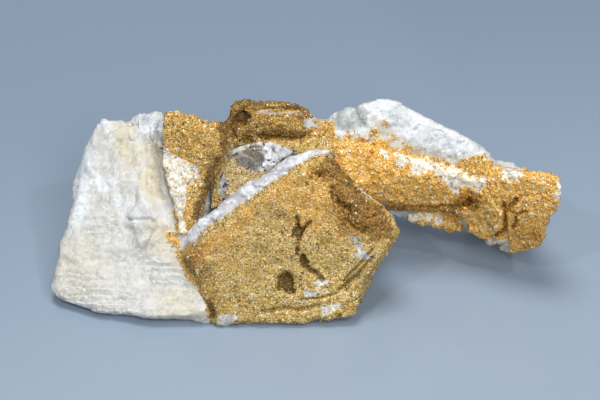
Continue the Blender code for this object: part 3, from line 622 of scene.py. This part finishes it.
def glints(tree, place, size, amount):
    return add_node(tree, "Group", {"Place": place, "Scale": 1.0 / (size * MM), "Amount": amount},
                    node_tree=glint_group()).outputs["Normal"]


# ---- materials

def new_material(name):
    material = bpy.data.materials.new(name)
    material.use_nodes = True
    return material, material.node_tree, material.node_tree.nodes["Principled BSDF"]


def quartz_colour(tree, place, look):
    """Milky quartz: white, with cream stains, glassy grey layers and a lilac broken edge."""
    cloud = noise_at(tree, place, 3.2, 4.0)
    white = mix_colour(tree, cloud, look.shade, look.white)
    stain = math_of(tree, "MULTIPLY", own_value(tree, "stain"),
                    between(tree, noise_at(tree, place, 1.1, 5.0), 0.3, 0.62))
    cream = mix_colour(tree, stain, white, look.cream)
    layers = own_value(tree, "glassy")
    deep = between(tree, math_of(tree, "SUBTRACT", layers, cloud), -0.05, 0.5)
    glass = mix_colour(tree, between(tree, layers, 0.0, 0.7), cream,
                       mix_colour(tree, deep, look.ice, look.glassy))
    bright = between(tree, noise_at(tree, place, 1.8, 4.0), 0.42, 0.62)
    return mix_colour(tree, own_value(tree, "lilac"), glass,
                      mix_colour(tree, bright, look.lilac, look.ice))


def siderite_colour(tree, tone, look):
    """Siderite from deep brown through gold to pale tips, olive where it is least warm."""
    olive = colours_along(tree, tone, (look.olive_deep, look.olive, look.olive_pale, look.tip))
    orange = colours_along(tree, tone, (look.deep, look.gold, look.pale, look.tip))
    return mix_colour(tree, own_value(tree, "warm"), olive, orange)


def over_noise(tree, name, noise, low, high):
    """Where an own value stands out of the noise, with a speckled rim."""
    return between(tree, math_of(tree, "SUBTRACT", own_value(tree, name), noise), low, high)


def quartz_material(look, siderite):
    material, tree, shader = new_material("Milky quartz")
    place = place_of(tree)
    fine = noise_at(tree, place, 0.5)
    covered = mix_colour(tree, over_noise(tree, "gold", fine, -0.22, 0.1),
                         quartz_colour(tree, place, look), siderite_colour(tree, fine, siderite))
    # Painted shade: darkens the quartz and its siderite towards the deep siderite brown under the
    # painted shade patches.
    shade = math_of(tree, "MULTIPLY", own_value(tree, "dusk"), 0.8)
    smooth = math_of(tree, "MAXIMUM", own_value(tree, "lilac"), own_value(tree, "glassy"))
    feed(tree, shader, {
        "Base Color": mix_colour(tree, shade, covered, siderite.deep),
        "Roughness": math_of(tree, "SUBTRACT", carried(tree, fine, 0.34, 0.66),
                             math_of(tree, "MULTIPLY", smooth, 0.22)),
        "Normal": bumped(tree, fine, 0.5, 0.12, Normal=glints(tree, place, 0.4, 0.4)),
        "IOR": 1.54, "Subsurface Weight": 0.25, "Subsurface Radius": (1.0, 0.95, 0.85),
        "Subsurface Scale": 0.9 * MM})
    return material


def bed_material(look, quartz):
    material, tree, shader = new_material("Siderite bed")
    place = place_of(tree)
    fine = noise_at(tree, place, 0.45)
    glassy = math_of(tree, "MULTIPLY", own_value(tree, "glassy"), 0.7)
    chalky = math_of(tree, "SUBTRACT", 0.7, glassy)
    white = mix_colour(tree, chalky, quartz_colour(tree, place, quartz), quartz.chalk)
    mixed = mix_colour(tree, over_noise(tree, "bare", fine, -0.16, 0.1),
                       siderite_colour(tree, fine, look), white)
    # Painted shade: darkens the crust towards the rusty brown where the painted shade lies.
    shade = math_of(tree, "MULTIPLY", own_value(tree, "dusk"), 0.85)
    feed(tree, shader, {
        "Base Color": mix_colour(tree, shade, mixed, look.rusty),
        "Roughness": carried(tree, fine, 0.3, 0.6),
        "Normal": bumped(tree, fine, 0.6, 0.15, Normal=glints(tree, place, 0.3, 0.8)),
        "IOR": 1.6})
    return material


def crystal_material(look):
    material, tree, shader = new_material("Siderite crystals")
    feed(tree, shader, {
        "Base Color": siderite_colour(tree, own_value(tree, "tone"), look),
        "Roughness": carried(tree, noise_at(tree, place_of(tree), 0.3, 2.0), 0.12, 0.4),
        "IOR": 1.6, "Coat Weight": 0.15, "Coat Roughness": 0.06})
    return material


def clear_material(look):
    material, tree, shader = new_material("Clear quartz")
    place = place_of(tree)
    feed(tree, shader, {
        "Base Color": mix_colour(tree, noise_at(tree, place, 3.0, 2.0), look.smoke, look.clear),
        "Roughness": carried(tree, noise_at(tree, place, 1.2), 0.02, 0.16, 0.45, 0.7),
        "Normal": bumped(tree, noise_at(tree, place, 1.6, 2.0), 0.15, 0.2),
        "IOR": 1.545, "Transmission Weight": 1.0})
    return material


def film_material(look, siderite):
    """The frosted breaks and the golden dust on the clear crystal."""
    material, tree, shader = new_material("Crystal film")
    place = place_of(tree)
    fine = noise_at(tree, place, 0.45)
    cloud = between(tree, noise_at(tree, place, 1.1, 5.0), look.veil_gap, look.veil_gap + 0.1)
    frost = math_of(tree, "MULTIPLY", cloud, own_value(tree, "frost"))
    feed(tree, shader, {
        "Base Color": mix_colour(tree, own_value(tree, "gold"), look.veil,
                                 siderite_colour(tree, fine, siderite)),
        "Roughness": 0.35,
        "Alpha": math_of(tree, "MAXIMUM", frost, over_noise(tree, "gold", fine, -0.1, 0.3)),
        "Normal": glints(tree, place, 0.6, 0.9)})
    return material


def floor_material(look):
    material, tree, shader = new_material("Backdrop paper")
    place = place_of(tree)
    parts = add_node(tree, "SeparateXYZ", {0: place}).outputs
    # Painted light: the paper is painted lighter towards the front and the right, a painted pool
    # of lamp light.
    away = math_of(tree, "SUBTRACT", parts[1], math_of(tree, "MULTIPLY", parts[0], 0.4))
    colour = mix_colour(tree, between(tree, away, 0.09, -0.06), look.paper, look.paper_painted_light)
    grain = carried(tree, noise_at(tree, place, 0.6, 2.0), 0.96, 1.03)
    feed(tree, shader, {
        "Base Color": vector_of(tree, "SCALE", {0: colour, "Scale": grain}),
        "Roughness": 0.32, "Specular IOR Level": 0.3, "Coat Weight": 0.5, "Coat Roughness": 0.1})
    return material


# ---- the quartz

def mark_quartz(mesh, points, normals, crust_tree):
    """Write where the quartz is stained, glassy, lilac or grown over with siderite, and where
    painted shade lies on that siderite.
    """
    waves = rough_noise(points, 1.5, 31)
    cover = partial(patch_cover, on_chart(points), waves)
    show = ramp(normals @ EYE_WAY, -0.5, 0.1)
    near = np.array([crust_tree.find_nearest(Vector(point) * MM)[3] for point in points]) / MM
    fringe = ramp(near + 0.9 * waves, 1.5, 0.4) * 0.8
    strays = ramp(soft_noise(points, 9.0, 41) + 0.3 * waves, 0.35, 0.8) * 0.35
    gold = cover(GOLD_ON_QUARTZ) * (0.35 + 0.65 * show)
    gold = np.maximum(gold, fringe) * (1.0 - cover(BARE_ON_QUARTZ) * show)
    gold = np.maximum(gold, strays * (1.0 - show))
    write_values(
        mesh, gold=clumped(gold, points),
        stain=np.maximum(cover(STAINED) * show, 0.7 * ramp(waves, 0.25, 0.8) * (1.0 - show)),
        glassy=np.maximum(cover(GLASSY), 0.45 * ramp(-waves, 0.2, 0.8)),
        lilac=cover(LILAC) * show, warm=0.4 + 0.6 * cover(WARM), coarse=cover(COARSE),
        # Painted shade: the dark patches, on the siderite of the show side.
        dusk=cover(PAINTED_SHADE_PATCHES) * show * ramp(gold, 0.2, 0.6))


def make_quartz(look, siderite):
    """The milky quartz: broken faces, and a block with fibrous streaks and steps."""
    piece = skin_over("quartz_matrix", "milky_quartz", look.grid)
    mesh = piece.data
    points, normals = read_skin(mesh)
    spots = on_chart(points)
    waves = rough_noise(points, 1.6, 3)
    cover = partial(patch_cover, spots, waves)
    block = ramp(-points[:, 0], *BLOCK_EDGE)
    flutes = ramp(depth_inside(spots, FLUTES) + waves, -2.0, 2.0) * block
    along_x = rough_noise(points * (0.16, 1.0, 1.0), 0.9, 51)
    down_slope = rough_noise(points * (1.0, 0.2, 0.2), 1.0, 61)
    steps = np.mod(points @ CHART_UP / STEP_HEIGHT + 0.5 * waves, 1.0) - 0.5
    blade = cover(LILAC)
    sheer = cover(GLASSY) * (1.0 - block)
    glass = np.maximum(np.maximum(blade, sheer), 0.6 * (1.0 - block))
    relief = look.swell / MM * rough_noise(points, 4.0, 11)
    relief += (look.breaks / MM * np.abs(rough_noise(points, 2.2, 21)) * (1.0 - 0.5 * block)
               * (1.0 - 0.9 * glass))
    relief += look.fibres / MM * block * (along_x * (1.0 - flutes) + 1.6 * down_slope * flutes)
    relief += look.grain / MM * rough_noise(points, 0.6, 71) * (1.0 - 0.8 * glass)
    broken = facets(points, 2.6, 91)[0] + 0.4 * facets(points, 1.2, 92)[0]
    relief += (look.facets / MM * broken * (1.0 - 0.7 * block) * (1.0 - 0.55 * blade)
               * (1.0 - 0.7 * sheer))
    relief += look.facets / MM * (sheer * facets(points, 5.5, 94)[0]
                                  + 0.7 * blade * facets(points, 1.7, 95)[0])
    jagged = ramp(points[:, 2], *BLOCK_TOP) * block
    relief += 0.8 * jagged * facets(points, 2.6, 93)[0]
    relief += 0.5 * steps * cover(STEPS)
    crevice = to_line(spots, FLAKE_LINE) + 0.15 * waves
    relief -= 0.5 * ramp(crevice, 0.5, 0.05) * ramp(normals @ EYE_WAY, 0.1, 0.5)
    write_points(mesh, points + normals * relief[:, None])
    select_only(piece)
    bpy.ops.object.shade_smooth_by_angle(angle=math.radians(24.0))
    mark_quartz(mesh, *read_skin(mesh), surface_tree(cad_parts["siderite_crust"].data))
    wear(piece, quartz_material(look, siderite))
    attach(piece, "root")
    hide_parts("quartz_matrix")


# ---- the siderite

def make_bed(look, quartz):
    """The siderite crust under its crystals: lumpy, pitted and cleft."""
    piece = skin_over("siderite_crust", "siderite_bed", look.grid)
    mesh = piece.data
    points, normals = read_skin(mesh)
    spots = on_chart(points)
    waves = rough_noise(points, 1.2, 5)
    cover = partial(patch_cover, spots, waves)
    room = room_above(points, normals, surface_tree(bpy.data.objects["milky_quartz"].data), 2.0)
    open_side = ramp(room, 1.0, 1.6)
    show = ramp(normals @ EYE_WAY, 0.0, 0.35) * open_side
    lumps = rough_noise(points, 1.9, 15)
    coarse = cover(COARSE)
    relief = look.lumps / MM * lumps + look.grain / MM * rough_noise(points, 0.6, 25)
    relief += look.knobs / MM * coarse * (facets(points, 1.3, 45)[1] - 0.4)
    sunk = np.zeros(len(points))
    for line, half, depth in GROOVES:
        reach = to_line(spots, line) + 0.7 * half * waves
        sunk = np.maximum(sunk, depth * ramp(reach, half * 1.7, half * 0.4))
    for middle, radius, depth in HOLES:
        reach = to_line(spots, [middle]) + 0.8 * radius * waves
        sunk = np.maximum(sunk, depth * ramp(reach, radius * 1.15, radius * 0.45))
    relief = (relief - sunk * show) * open_side + (room + BED_OVERLAP) * (1.0 - open_side)
    write_points(mesh, points + normals * relief[:, None])
    bare = cover(BARE_ON_CRUST) * ramp(normals @ EYE_WAY, -0.4, 0.1)
    rusty = 0.4 * ramp(rough_noise(points, 2.6, 65), 0.3, 0.6)
    # Painted shade in the dark patches and down in the grooves and holes.
    dusk = np.maximum(cover(PAINTED_SHADE_PATCHES), 0.75 * ramp(sunk, 0.2, 1.0) * show)
    write_values(
        mesh, bare=clumped(bare, points), stain=cover(STAINED), glassy=cover(GLASSY),
        lilac=cover(LILAC), warm=np.clip(0.12 + cover(WARM) + 0.25 * waves + rusty, 0.0, 1.0),
        # Painted shade also in the hollows between the lumps.
        coarse=coarse, dusk=np.maximum(dusk, 0.6 * ramp(-lumps, 0.2, 0.8)), open=open_side)
    wear(piece, bed_material(look, quartz))
    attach(piece, "root")
    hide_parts("siderite_crust")


def crystal_model():
    """The corner of a siderite rhomb that stands out of the crust: three faces and a base."""
    bpy.ops.object.select_all(action="DESELECT")
    bpy.ops.mesh.primitive_cube_add(size=1.0, location=(0.0, 0.0, 0.0))
    rhomb = bpy.context.object
    corner = Vector((1.0, 1.0, 1.0)).rotation_difference(Vector((0.0, 0.0, 1.0)))
    rhomb.data.transform(corner.to_matrix().to_4x4())
    bpy.ops.object.mode_set(mode="EDIT")
    bpy.ops.mesh.select_all(action="SELECT")
    bpy.ops.mesh.bisect(plane_co=(0.0, 0.0, TIP_CUT), plane_no=(0.0, 0.0, 1.0), use_fill=True,
                        clear_inner=True)
    bpy.ops.mesh.select_all(action="SELECT")
    bpy.ops.transform.resize(value=(1.0, 1.0, TIP_STRETCH))
    bpy.ops.transform.translate(value=(0.0, 0.0, -TIP_DEPTH))
    bpy.ops.mesh.normals_make_consistent(inside=False)
    bpy.ops.object.mode_set(mode="OBJECT")
    points = np.array([vert.co[:] for vert in rhomb.data.vertices])
    faces = np.array([tuple(face.vertices) for face in rhomb.data.polygons])
    bpy.data.objects.remove(rhomb, do_unlink=True)
    return points, faces


def turns(ways, dice):
    """Rotation matrices that point the model's tip each way, spun at random."""
    side = unit(np.cross(ways, dice.normal(size=ways.shape)))
    return np.stack((side, np.cross(ways, side), ways), axis=2)


def sow(base, look, dice):
    """Seeds for crystals over a base piece: place, size, tone, warmth and tip of each."""
    mesh = base.data
    corners = np.array(corners_of(mesh))
    points, normals = read_skin(mesh)
    a, b, c = (points[corners[:, k]] for k in range(3))
    area = 0.5 * np.linalg.norm(np.cross(b - a, c - a), axis=1)
    opened, bare, gold, coarse, warm, dusk = (
        value_of(mesh, name)[corners].mean(axis=1)
        for name in ("open", "bare", "gold", "coarse", "warm", "dusk"))
    cover = opened * (1.0 - 0.9 * bare) if mesh.attributes.get("bare") else gold
    cover = cover * (points[corners].mean(axis=1)[:, 2] > FLOOR_GAP)
    size = look.small / MM + (look.large - look.small) / MM * coarse
    facing = normals[corners].mean(axis=1) @ EYE_WAY
    size = size * (1.0 + 0.6 * ramp(facing, 0.0, -0.3))     # coarser on the far side
    wanted = area * cover * look.packing / size ** 2
    count = int(wanted.sum())
    chosen = np.searchsorted(np.cumsum(wanted) / wanted.sum(), dice.random(count))
    chosen = np.minimum(chosen, len(corners) - 1)
    u, v = np.sqrt(dice.random(count)), dice.random(count)
    weight = np.stack((1 - u, u * (1 - v), u * v), axis=1)
    place = np.einsum("nk,nkd->nd", weight, points[corners[chosen]])
    way = np.einsum("nk,nkd->nd", weight, normals[corners[chosen]])
    size = size[chosen] * np.exp(SIZE_SPREAD * dice.normal(size=count))
    dusk, warm = dusk[chosen], warm[chosen]
    # Crystals are darker where the painted shade lies.
    tone = 0.42 + 0.18 * warm + 0.16 * coarse[chosen] - 0.58 * dusk
    tone = tone + 0.32 * (1.0 - 0.35 * warm) * (1.0 - 0.5 * dusk) * dice.normal(size=count)
    tone = np.clip(tone, 0.02, TONE_MARKS[2])
    # A share of the crystals, fewer in the painted shade, is painted near white: painted glints.
    tone = np.where(dice.random(count) < look.painted_glints * (1.0 - dusk), 1.0, tone)
    warm = np.clip(warm + 0.18 * dice.normal(size=count), 0.0, 1.0)
    red = dice.random(count) < look.reds
    tone, warm = np.where(red, RUST_TONE, tone), np.where(red, 1.0, warm)
    tip = unit(way + look.lean * dice.normal(size=way.shape))
    return np.column_stack((place, size, tone, warm, tip))


def grow_crystals(name, seeds, model, material, dice):
    """One mesh of all the crystals on the given seeds."""
    points, faces = model
    shaped = np.einsum("nij,kj->nki", turns(seeds[:, 6:], dice), points)
    shaped = shaped * seeds[:, 3, None, None] + seeds[:, None, :3]
    shaped = np.clip(shaped.reshape(-1, 3), LOW, HIGH)
    corners = (faces[None] + np.arange(len(seeds))[:, None, None] * len(points)).reshape(-1, 3)
    mesh = bpy.data.meshes.new(name)
    mesh.vertices.add(len(shaped))
    mesh.vertices.foreach_set("co", (shaped * MM).ravel())
    mesh.loops.add(corners.size)
    mesh.loops.foreach_set("vertex_index", corners.ravel())
    mesh.polygons.add(len(corners))
    mesh.polygons.foreach_set("loop_start", np.arange(len(corners)) * 3)
    mesh.update(calc_edges=True)
    write_values(mesh, tone=np.repeat(seeds[:, 4], len(points)),
                 warm=np.repeat(seeds[:, 5], len(points)))
    piece = add_object(name, mesh)
    wear(piece, material)
    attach(piece, "root")


def make_crystals(look):
    """Sow every base piece, then grow one mesh of crystals for each part of the specimen."""
    dice = np.random.default_rng(look.seed)
    seeds = np.concatenate([sow(bpy.data.objects[name], look, dice)
                            for name in ("siderite_bed", "milky_quartz", "crystal_film")])
    x, y, z = seeds[:, :3].T
    front = y < PLATE_BACK
    # The first group that a seed fits takes it.
    groups = (("lump_druse", x > 27.5), ("sail_druse", (x < -14.5) & (y > -10.0)),
              ("plate_druse_low", front & (z < 8.5)), ("plate_druse_high", front & (z > 15.5)),
              ("plate_druse_middle", front), ("arm_druse", x > 4.0),
              ("ledge_druse", np.isfinite(x)))
    model, material = crystal_model(), crystal_material(look)
    left = np.ones(len(seeds), dtype=bool)
    for name, chosen in groups:
        grow_crystals(name, seeds[left & chosen], model, material, dice)
        left &= ~chosen


# ---- the clear crystal

def make_film(look, siderite):
    """Frost on the clear crystal's breaks, and the dust that its golden crystals stand on."""
    piece = skin_over("clear_quartz", "crystal_film", look.grid)
    mesh = piece.data
    points, normals = read_skin(mesh)
    waves = rough_noise(points, 1.0, 35)
    cover = partial(patch_cover, on_chart(points), waves)
    show = ramp(normals @ EYE_WAY, -0.15, 0.1)
    gold, frost = cover(GOLD_ON_CLEAR) * show, cover(FROSTED) * show
    shards = np.clip(facets(points, 1.4, 36)[0] + 0.35, 0.0, 1.0)
    height = look.film / MM + 0.1 * np.abs(waves) + look.shards / MM * frost * shards
    write_points(mesh, points + normals * height[:, None])
    none = np.zeros(len(points))
    write_values(mesh, gold=gold, frost=frost, warm=np.clip(0.12 + 0.2 * waves, 0.0, 1.0),
                 coarse=none, dusk=none)
    seen = np.maximum(gold, frost) > 0.01
    bm = bmesh.new()
    bm.from_mesh(mesh)
    clear = [vert for vert in bm.verts if not seen[vert.index]]
    bmesh.ops.delete(bm, geom=clear, context="VERTS")
    bm.to_mesh(mesh)
    bm.free()
    wear(piece, film_material(look, siderite))
    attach(piece, "root")


def make_clear(look):
    """The clear crystal itself, with worn edges."""
    piece = copy_of("clear_quartz", "clear_crystal")
    apply_modifier(piece, "Worn edges", "BEVEL", width=look.edge, segments=2,
                   limit_method="ANGLE", angle_limit=math.radians(40.0))
    bpy.ops.object.shade_smooth_by_angle(angle=math.radians(30.0))
    wear(piece, clear_material(look))
    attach(piece, "root")
    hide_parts("clear_quartz")


# ---- the stage

def make_floor(look):
    bpy.ops.object.select_all(action="DESELECT")
    bpy.ops.mesh.primitive_plane_add(size=look.floor_size, location=(0.0, 0.0, 0.0))
    floor = bpy.context.object
    floor.name = floor.data.name = "backdrop"
    wear(floor, floor_material(look))


def make_lights(look):
    """Round lamps that all point at the specimen, and the room's own light."""
    for name, place, size, power in LAMPS:
        light = bpy.data.lights.new(name, "AREA")
        light.shape = "DISK"
        light.size = size
        light.energy = getattr(look, power)
        light.color = look.daylight[:3]
        lamp = add_object(name, light)
        lamp.location = place
        way = Vector(LAMP_AIM) - Vector(place)
        lamp.rotation_euler = way.to_track_quat("-Z", "Y").to_euler()
    world = bpy.data.worlds.new("Studio")
    world.use_nodes = True
    feed(world.node_tree, world.node_tree.nodes["Background"],
         {"Color": opaque(look.sky), "Strength": look.sky_strength})
    bpy.context.scene.world = world


def make_camera(look):
    """A camera that looks at the chart's middle."""
    camera = add_object("Camera", bpy.data.cameras.new("Camera"))
    tilt = look.elevation
    way = Vector((0.0, -math.cos(tilt), math.sin(tilt)))
    camera.location = Vector(CHART_MIDDLE) * MM + way * look.distance
    camera.rotation_euler = (math.pi / 2 - tilt, 0.0, 0.0)
    camera.data.sensor_width = 36.0
    camera.data.lens = look.lens
    camera.data.clip_start = 0.01
    bpy.context.scene.camera = camera


# ---- sizes and colours

def number(name, description, value, **more):
    return bpy.props.FloatProperty(name=name, description=description, default=value, **more)


def length(name, description, value):
    return number(name, description, value, subtype="DISTANCE", unit="LENGTH", precision=5)


def colour(name, description, value):
    return bpy.props.FloatVectorProperty(name=name, description=description, default=value,
                                         subtype="COLOR", min=0.0, max=1.0)


class QuartzLook(bpy.types.PropertyGroup):
    grid: length("Skin grid", "Size of the fine skin's squares", 0.00038)
    swell: length("Swell", "Height of the broad waves", 0.0003)
    breaks: length("Breaks", "Height of the broken ridges", 0.0004)
    fibres: length("Fibres", "Height of the fibrous streaks on the block", 0.0002)
    grain: length("Grain", "Height of the fine grain", 0.00008)
    facets: length("Facets", "Height of the broken faces", 0.00045)
    white: colour("White", "Brightest milky quartz", (0.76, 0.76, 0.73))
    ice: colour("Ice", "Brightest glassy quartz", (0.77, 0.81, 0.86))
    chalk: colour("Chalk", "Quartz that shows through the crust", (0.96, 0.93, 0.83))
    shade: colour("Shade", "Dull milky quartz", (0.52, 0.53, 0.52))
    cream: colour("Cream", "Stained quartz", (0.64, 0.54, 0.30))
    glassy: colour("Glassy", "Glassy grey quartz", (0.38, 0.43, 0.43))
    lilac: colour("Lilac", "The blade's broken edge", (0.57, 0.58, 0.64))


class SideriteLook(bpy.types.PropertyGroup):
    grid: length("Skin grid", "Size of the fine skin's squares", 0.0003)
    lumps: length("Lumps", "Height of the crust's lumps", 0.00032)
    knobs: length("Knobs", "Height of the rounded knobs", 0.00045)
    grain: length("Grain", "Height of the crust's grain", 0.0001)
    small: length("Small crystals", "Edge of the finest crystals", 0.000175)
    large: length("Large crystals", "Edge of the coarsest crystals", 0.0003)
    packing: number("Packing", "How closely the crystals stand", 2.2, min=0.1, max=4.0)
    reds: number("Rusty crystals", "Share of crystals that are rust-brown", 0.05, min=0.0, max=0.5)
    lean: number("Lean", "How far the crystals lean at random", 0.75, min=0.0, max=2.0)
    # Share of crystals painted near white as glints: painted highlights.
    painted_glints: number("Bright tips", "Share of crystals that look white", 0.085, min=0.0, max=0.5)
    seed: bpy.props.IntProperty(name="Seed", description="Start of the crystals' dice", default=7)
    # Darkest warm siderite; on the quartz it is also the colour of the painted shade.
    deep: colour("Deep", "Darkest warm siderite", (0.10, 0.036, 0.006))
    # Colour of the painted shade on the crust, down in its pits, clefts and hollows.
    rusty: colour("Rusty", "Siderite down in the pits", (0.18, 0.07, 0.014))
    gold: colour("Gold", "Middle warm siderite", (0.77, 0.38, 0.04))
    pale: colour("Pale", "Light warm siderite", (0.98, 0.66, 0.19))
    olive_deep: colour("Olive deep", "Darkest olive siderite", (0.13, 0.075, 0.014))
    olive: colour("Olive", "Middle olive siderite", (0.62, 0.44, 0.115))
    olive_pale: colour("Olive pale", "Light olive siderite", (0.92, 0.76, 0.37))
    # Near-white colour of the crystals painted as glints: painted highlight.
    tip: colour("Tip", "Flashing crystal", (1.0, 0.96, 0.82))


class ClearLook(bpy.types.PropertyGroup):
    grid: length("Film grid", "Size of the film's squares", 0.0003)
    film: length("Film", "Height of the film over the crystal", 0.00006)
    shards: length("Shards", "Height of the frosted shards", 0.0005)
    edge: length("Edge", "Width of the worn edges", 0.00012)
    clear: colour("Clear", "Tint of the clear crystal", (0.93, 0.93, 0.94))
    smoke: colour("Smoke", "Tint where it is smoky", (0.72, 0.66, 0.62))
    veil: colour("Frost", "White of the frosted breaks", (0.80, 0.82, 0.86))
    veil_gap: number("Frost gap", "How open the frost is", 0.36, min=0.0, max=1.0)


class StageLook(bpy.types.PropertyGroup):
    floor_size: length("Floor size", "Side of the backdrop sheet", 6.0)
    # The backdrop paper is painted darker far back and lighter near the front: painted light
    # falloff.
    paper: colour("Paper", "Backdrop colour far back", (0.225, 0.30, 0.41))
    paper_painted_light: colour("Light paper", "Backdrop colour near the front", (0.32, 0.40, 0.51))
    daylight: colour("Light", "Colour of the lamps", (1.0, 0.98, 0.95))
    sky: colour("Sky", "Colour of the room's light", (0.86, 0.92, 1.0))
    sky_strength: number("Sky strength", "Room light", 0.14)
    key: number("Key", "Main lamp, watts", 1.9)
    back: number("Back", "Lamp behind, watts", 0.12)
    front: number("Front", "Lamp in front, watts", 2.1)
    spark: number("Spark", "Small lamps, watts", 0.4)
    elevation: number("Elevation", "Camera's height over the floor", CHART_TILT, subtype="ANGLE",
                      unit="ROTATION")
    distance: length("Distance", "Camera's distance from the specimen", CHART_REACH * MM)
    lens: number("Lens", "Focal length in mm", 154.08)


# ---- operators and panel

class SPECIMEN_OT_quartz(bpy.types.Operator):
    """Build the milky quartz matrix"""
    bl_idname = "specimen.quartz"
    bl_label = "Milky Quartz"

    def execute(self, context):
        make_quartz(context.scene.quartz_look, context.scene.siderite_look)
        return {"FINISHED"}


class SPECIMEN_OT_bed(bpy.types.Operator):
    """Build the siderite crust that the crystals stand on"""
    bl_idname = "specimen.bed"
    bl_label = "Siderite Bed"

    def execute(self, context):
        make_bed(context.scene.siderite_look, context.scene.quartz_look)
        return {"FINISHED"}


class SPECIMEN_OT_clear(bpy.types.Operator):
    """Build the clear quartz crystal and the film on it"""
    bl_idname = "specimen.clear"
    bl_label = "Clear Quartz"

    def execute(self, context):
        make_film(context.scene.clear_look, context.scene.siderite_look)
        make_clear(context.scene.clear_look)
        return {"FINISHED"}


class SPECIMEN_OT_crystals(bpy.types.Operator):
    """Sow the siderite crystals over the bed, the quartz and the film"""
    bl_idname = "specimen.crystals"
    bl_label = "Siderite Crystals"

    def execute(self, context):
        make_crystals(context.scene.siderite_look)
        return {"FINISHED"}


class SPECIMEN_OT_stage(bpy.types.Operator):
    """Build the backdrop, the lights and the camera"""
    bl_idname = "specimen.stage"
    bl_label = "Stage"

    def execute(self, context):
        look = context.scene.stage_look
        make_floor(look)
        make_lights(look)
        make_camera(look)
        context.scene.view_settings.view_transform = "Standard"
        return {"FINISHED"}


class SPECIMEN_PT_panel(bpy.types.Panel):
    """Pieces of the specimen and their looks"""
    bl_idname = "SPECIMEN_PT_panel"
    bl_label = "Siderite on Quartz"
    bl_space_type = "VIEW_3D"
    bl_region_type = "UI"
    bl_category = "Specimen"

    def draw(self, context):
        for piece, look in (("quartz", "quartz_look"), ("bed", "siderite_look"),
                            ("clear", "clear_look"), ("crystals", None), ("stage", "stage_look")):
            self.layout.operator("specimen." + piece)
            if look:
                settings = getattr(context.scene, look)
                column = self.layout.column(align=True)
                for key in settings.__annotations__:
                    column.prop(settings, key)


LOOKS = {"quartz_look": QuartzLook, "siderite_look": SideriteLook, "clear_look": ClearLook,
         "stage_look": StageLook}
CLASSES = (*LOOKS.values(), SPECIMEN_OT_quartz, SPECIMEN_OT_bed, SPECIMEN_OT_clear,
           SPECIMEN_OT_crystals, SPECIMEN_OT_stage, SPECIMEN_PT_panel)


def register():
    for cls in CLASSES:
        bpy.utils.register_class(cls)
    for name, group in LOOKS.items():
        setattr(bpy.types.Scene, name, bpy.props.PointerProperty(type=group))


def unregister():
    for name in LOOKS:
        delattr(bpy.types.Scene, name)
    for cls in reversed(CLASSES):
        bpy.utils.unregister_class(cls)


def main():
    register()
    bpy.ops.object.select_all(action="DESELECT")
    bpy.ops.specimen.quartz()
    bpy.ops.specimen.bed()
    bpy.ops.specimen.clear()
    bpy.ops.specimen.crystals()
    bpy.ops.specimen.stage()


if __name__ == "__main__":
    main()
